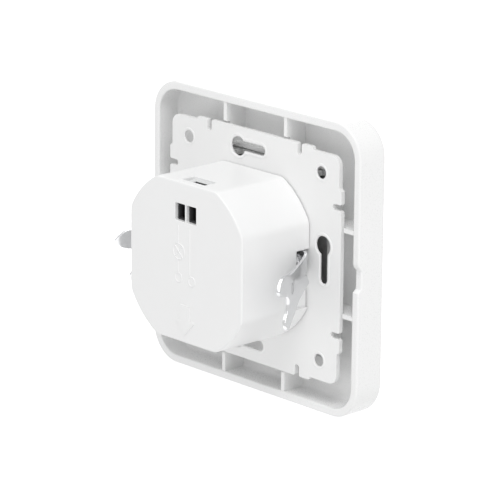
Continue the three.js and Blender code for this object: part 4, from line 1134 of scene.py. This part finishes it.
for name in [node for node in frame["nodes"] if "_screw_" in node]:
    low, high = box_mm(name)
    x, z = (low[0] + high[0]) / 2, (low[2] + high[2]) / 2
    in_claw = name.startswith("claw")
    shank, head_height, pitch = (1.3, 2.0, 0.7) if in_claw else (1.1, 1.6, 0.8)
    slot, body = ("zinc", name) if in_claw else ("steel", "housing")
    mesh = screw(x, z, shank, (high[0] - low[0]) / 2, low[1], high[1], head_height, pitch)
    piece(f"{name}_threaded", mesh, slot, body, [name], 30)


def tube(path, radius, count=8, closed=True):
    """A round wire along a path: at each point a circle across the path's direction."""
    ahead = np.roll(path, -1, axis=0) - np.roll(path, 1, axis=0)
    if not closed:
        ahead[0], ahead[-1] = path[1] - path[0], path[-1] - path[-2]
    ahead /= np.linalg.norm(ahead, axis=1, keepdims=True)
    side = np.cross(ahead, (0.31, 0.17, 0.93))
    side /= np.linalg.norm(side, axis=1, keepdims=True)
    other = np.cross(ahead, side)
    angle = np.linspace(0, 2 * np.pi, count, endpoint=False)[None, :, None]
    points = path[:, None] + radius * (side[:, None] * np.cos(angle) + other[:, None] * np.sin(angle))
    mesh = grid_mesh(*np.moveaxis(points, -1, 0), rows_close=closed)
    return outward(mesh if closed else capped(mesh))


def coil_spring(low, high, turns=5.5, wire=0.25):
    """A compression spring along Y whose end turns lie nearly flat.

    The angle is turns x 360 degrees x t. The height climbs with 0.12 t + 0.88 c, where c runs from 0 to 1
    between t = 0.12 and t = 0.88, so that the first and the last eighth of the wire hardly climb.
    """
    t = np.linspace(0, 1, int(turns * 28))
    climb = np.clip((t - 0.12) / 0.76, 0, 1)
    reach = (high[0] - low[0]) / 2 - wire
    angle = 2 * np.pi * turns * t
    path = np.column_stack([
        (low[0] + high[0]) / 2 + reach * np.cos(angle),
        low[1] + wire + (high[1] - low[1] - 2 * wire) * (0.12 * t + 0.88 * climb),
        (low[2] + high[2]) / 2 + reach * np.sin(angle),
    ])
    return tube(path, wire, 10, closed=False)


for side in ("right", "left"):
    low, high = box_mm(f"key_spring_{side}")
    spring = piece(f"key_coil_{side}", coil_spring(low, high), "steel", "housing", [f"key_spring_{side}"], 60)
    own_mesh(spring)

# %% Choke core and winding
WIRE_RADIUS, CHOKE_TURNS = 0.32, 15
choke_low, choke_high = box_mm("choke")
CHOKE_CENTRE, CHOKE_HALF = (choke_low + choke_high) / 2, (choke_high - choke_low) / 2
RING_OUTER, RING_INNER = CHOKE_HALF[0] - 2 * WIRE_RADIUS, 2.6 + 2 * WIRE_RADIUS
RING_HALF_HIGH = CHOKE_HALF[1] - 2 * WIRE_RADIUS


def choke_core():
    """A soft-edged rectangle in (radius, height), carried round the ring's axis."""
    low, high = -RING_HALF_HIGH, RING_HALF_HIGH
    corners = [(RING_INNER, low), (RING_OUTER, low), (RING_OUTER, high), (RING_INNER, high)]
    section = softened(corners, [0.5] * 4)
    radius, height = section[:, :1], section[:, 1:]
    angle = np.linspace(0, 2 * np.pi, 56, endpoint=False)[None, :]
    x, z = CHOKE_CENTRE[0] + radius * np.cos(angle), CHOKE_CENTRE[2] + radius * np.sin(angle)
    return outward(grid_mesh(x, CHOKE_CENTRE[1] + height, z, rows_close=True))


def choke_winding():
    """The wire's path: round the ring by t, and round the ring's section by turns x t.

    Round the section it follows a superellipse of exponent 4, one wire radius outside the core.
    """
    middle = (RING_OUTER + RING_INNER) / 2
    half_wide, half_high = (RING_OUTER - RING_INNER) / 2 + WIRE_RADIUS, RING_HALF_HIGH + WIRE_RADIUS
    t = np.linspace(0, 2 * np.pi, CHOKE_TURNS * 28, endpoint=False)
    around = CHOKE_TURNS * t
    squeeze = (np.abs(np.cos(around)) ** 4 + np.abs(np.sin(around)) ** 4) ** -0.25
    reach = middle + half_wide * squeeze * np.cos(around)
    height = half_high * squeeze * np.sin(around)
    path = np.column_stack([reach * np.cos(t), height, reach * np.sin(t)]) + CHOKE_CENTRE
    return tube(path, WIRE_RADIUS)


piece("choke_core", choke_core(), "ferrite", stands_for=["choke"])
piece("choke_winding", choke_winding(), "copper", crease=60)

# %% [markdown]
# ## Studio
# The object is shown on a pale floor under soft light. White on white needs a bright surround, and the
# panels only model the faces: one high on the camera's side, a weak card below it, and a weak panel
# behind the object. Two large reflectors show in the gloss alone. The floor glows a little: it shows by
# itself and in the gloss, but it neither lights the faces nor blocks the low card.

# %% Floor and light
FLOOR_Z = cad_low[2] - 0.5 * MM
FLOOR_HALF = 40.0
floor_mesh = bpy.data.meshes.new("floor")
floor_corners = [(x * FLOOR_HALF, y * FLOOR_HALF, FLOOR_Z) for x, y in ((-1, -1), (1, -1), (1, 1), (-1, 1))]
floor_mesh.from_pydata(floor_corners, [], [(0, 1, 2, 3)])
floor = bpy.data.objects.new("floor", floor_mesh)
bpy.context.scene.collection.objects.link(floor)
floor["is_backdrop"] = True
paper = bpy.data.materials.new("paper")
paper.use_nodes = True
paper_shader = paper.node_tree.nodes["Principled BSDF"]
paper_shader.inputs["Base Color"].default_value = (0.9, 0.9, 0.9, 1)
paper_shader.inputs["Roughness"].default_value = 0.8
paper_shader.inputs["Emission Color"].default_value = (1, 1, 1, 1)
paper_shader.inputs["Emission Strength"].default_value = 0.45
floor_mesh.materials.append(paper)
floor.visible_diffuse = False
floor.visible_shadow = False

world = bpy.data.worlds.new("surround")
bpy.context.scene.world = world
world.use_nodes = True
world.node_tree.nodes["Background"].inputs["Color"].default_value = (1, 1, 1, 1)
world.node_tree.nodes["Background"].inputs["Strength"].default_value = 0.77


def panel(name, place, size, power):
    """A square soft light that faces the origin."""
    lamp = bpy.data.lights.new(name, "AREA")
    lamp.size = size
    lamp.energy = power
    made = bpy.data.objects.new(name, lamp)
    facing = (-Vector(place)).to_track_quat("-Z", "Y")
    made.matrix_world = Matrix.Translation(place) @ facing.to_matrix().to_4x4()
    bpy.context.scene.collection.objects.link(made)
    return made


panel("high_panel", (-0.4, 0.33, 0.84), 0.4, 3.2)
panel("low_card", (-0.6, 0.35, -0.5), 0.5, 0.7)
panel("back_panel", (0.56, -0.53, 0.3), 0.3, 0.5)
reflectors = [
    panel("near_reflector", (-0.05, 1.0, -0.1), 0.8, 1.3),
    panel("overhead_reflector", (0.25, 0.1, 1.0), 1.0, 5.0),
]
for card in reflectors:
    card.visible_diffuse = False
bpy.context.scene.view_settings.view_transform = "Standard"

# %% [markdown]
# ## Finish
# The box of the visible model is measured.

# %% Size and finish
low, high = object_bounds()
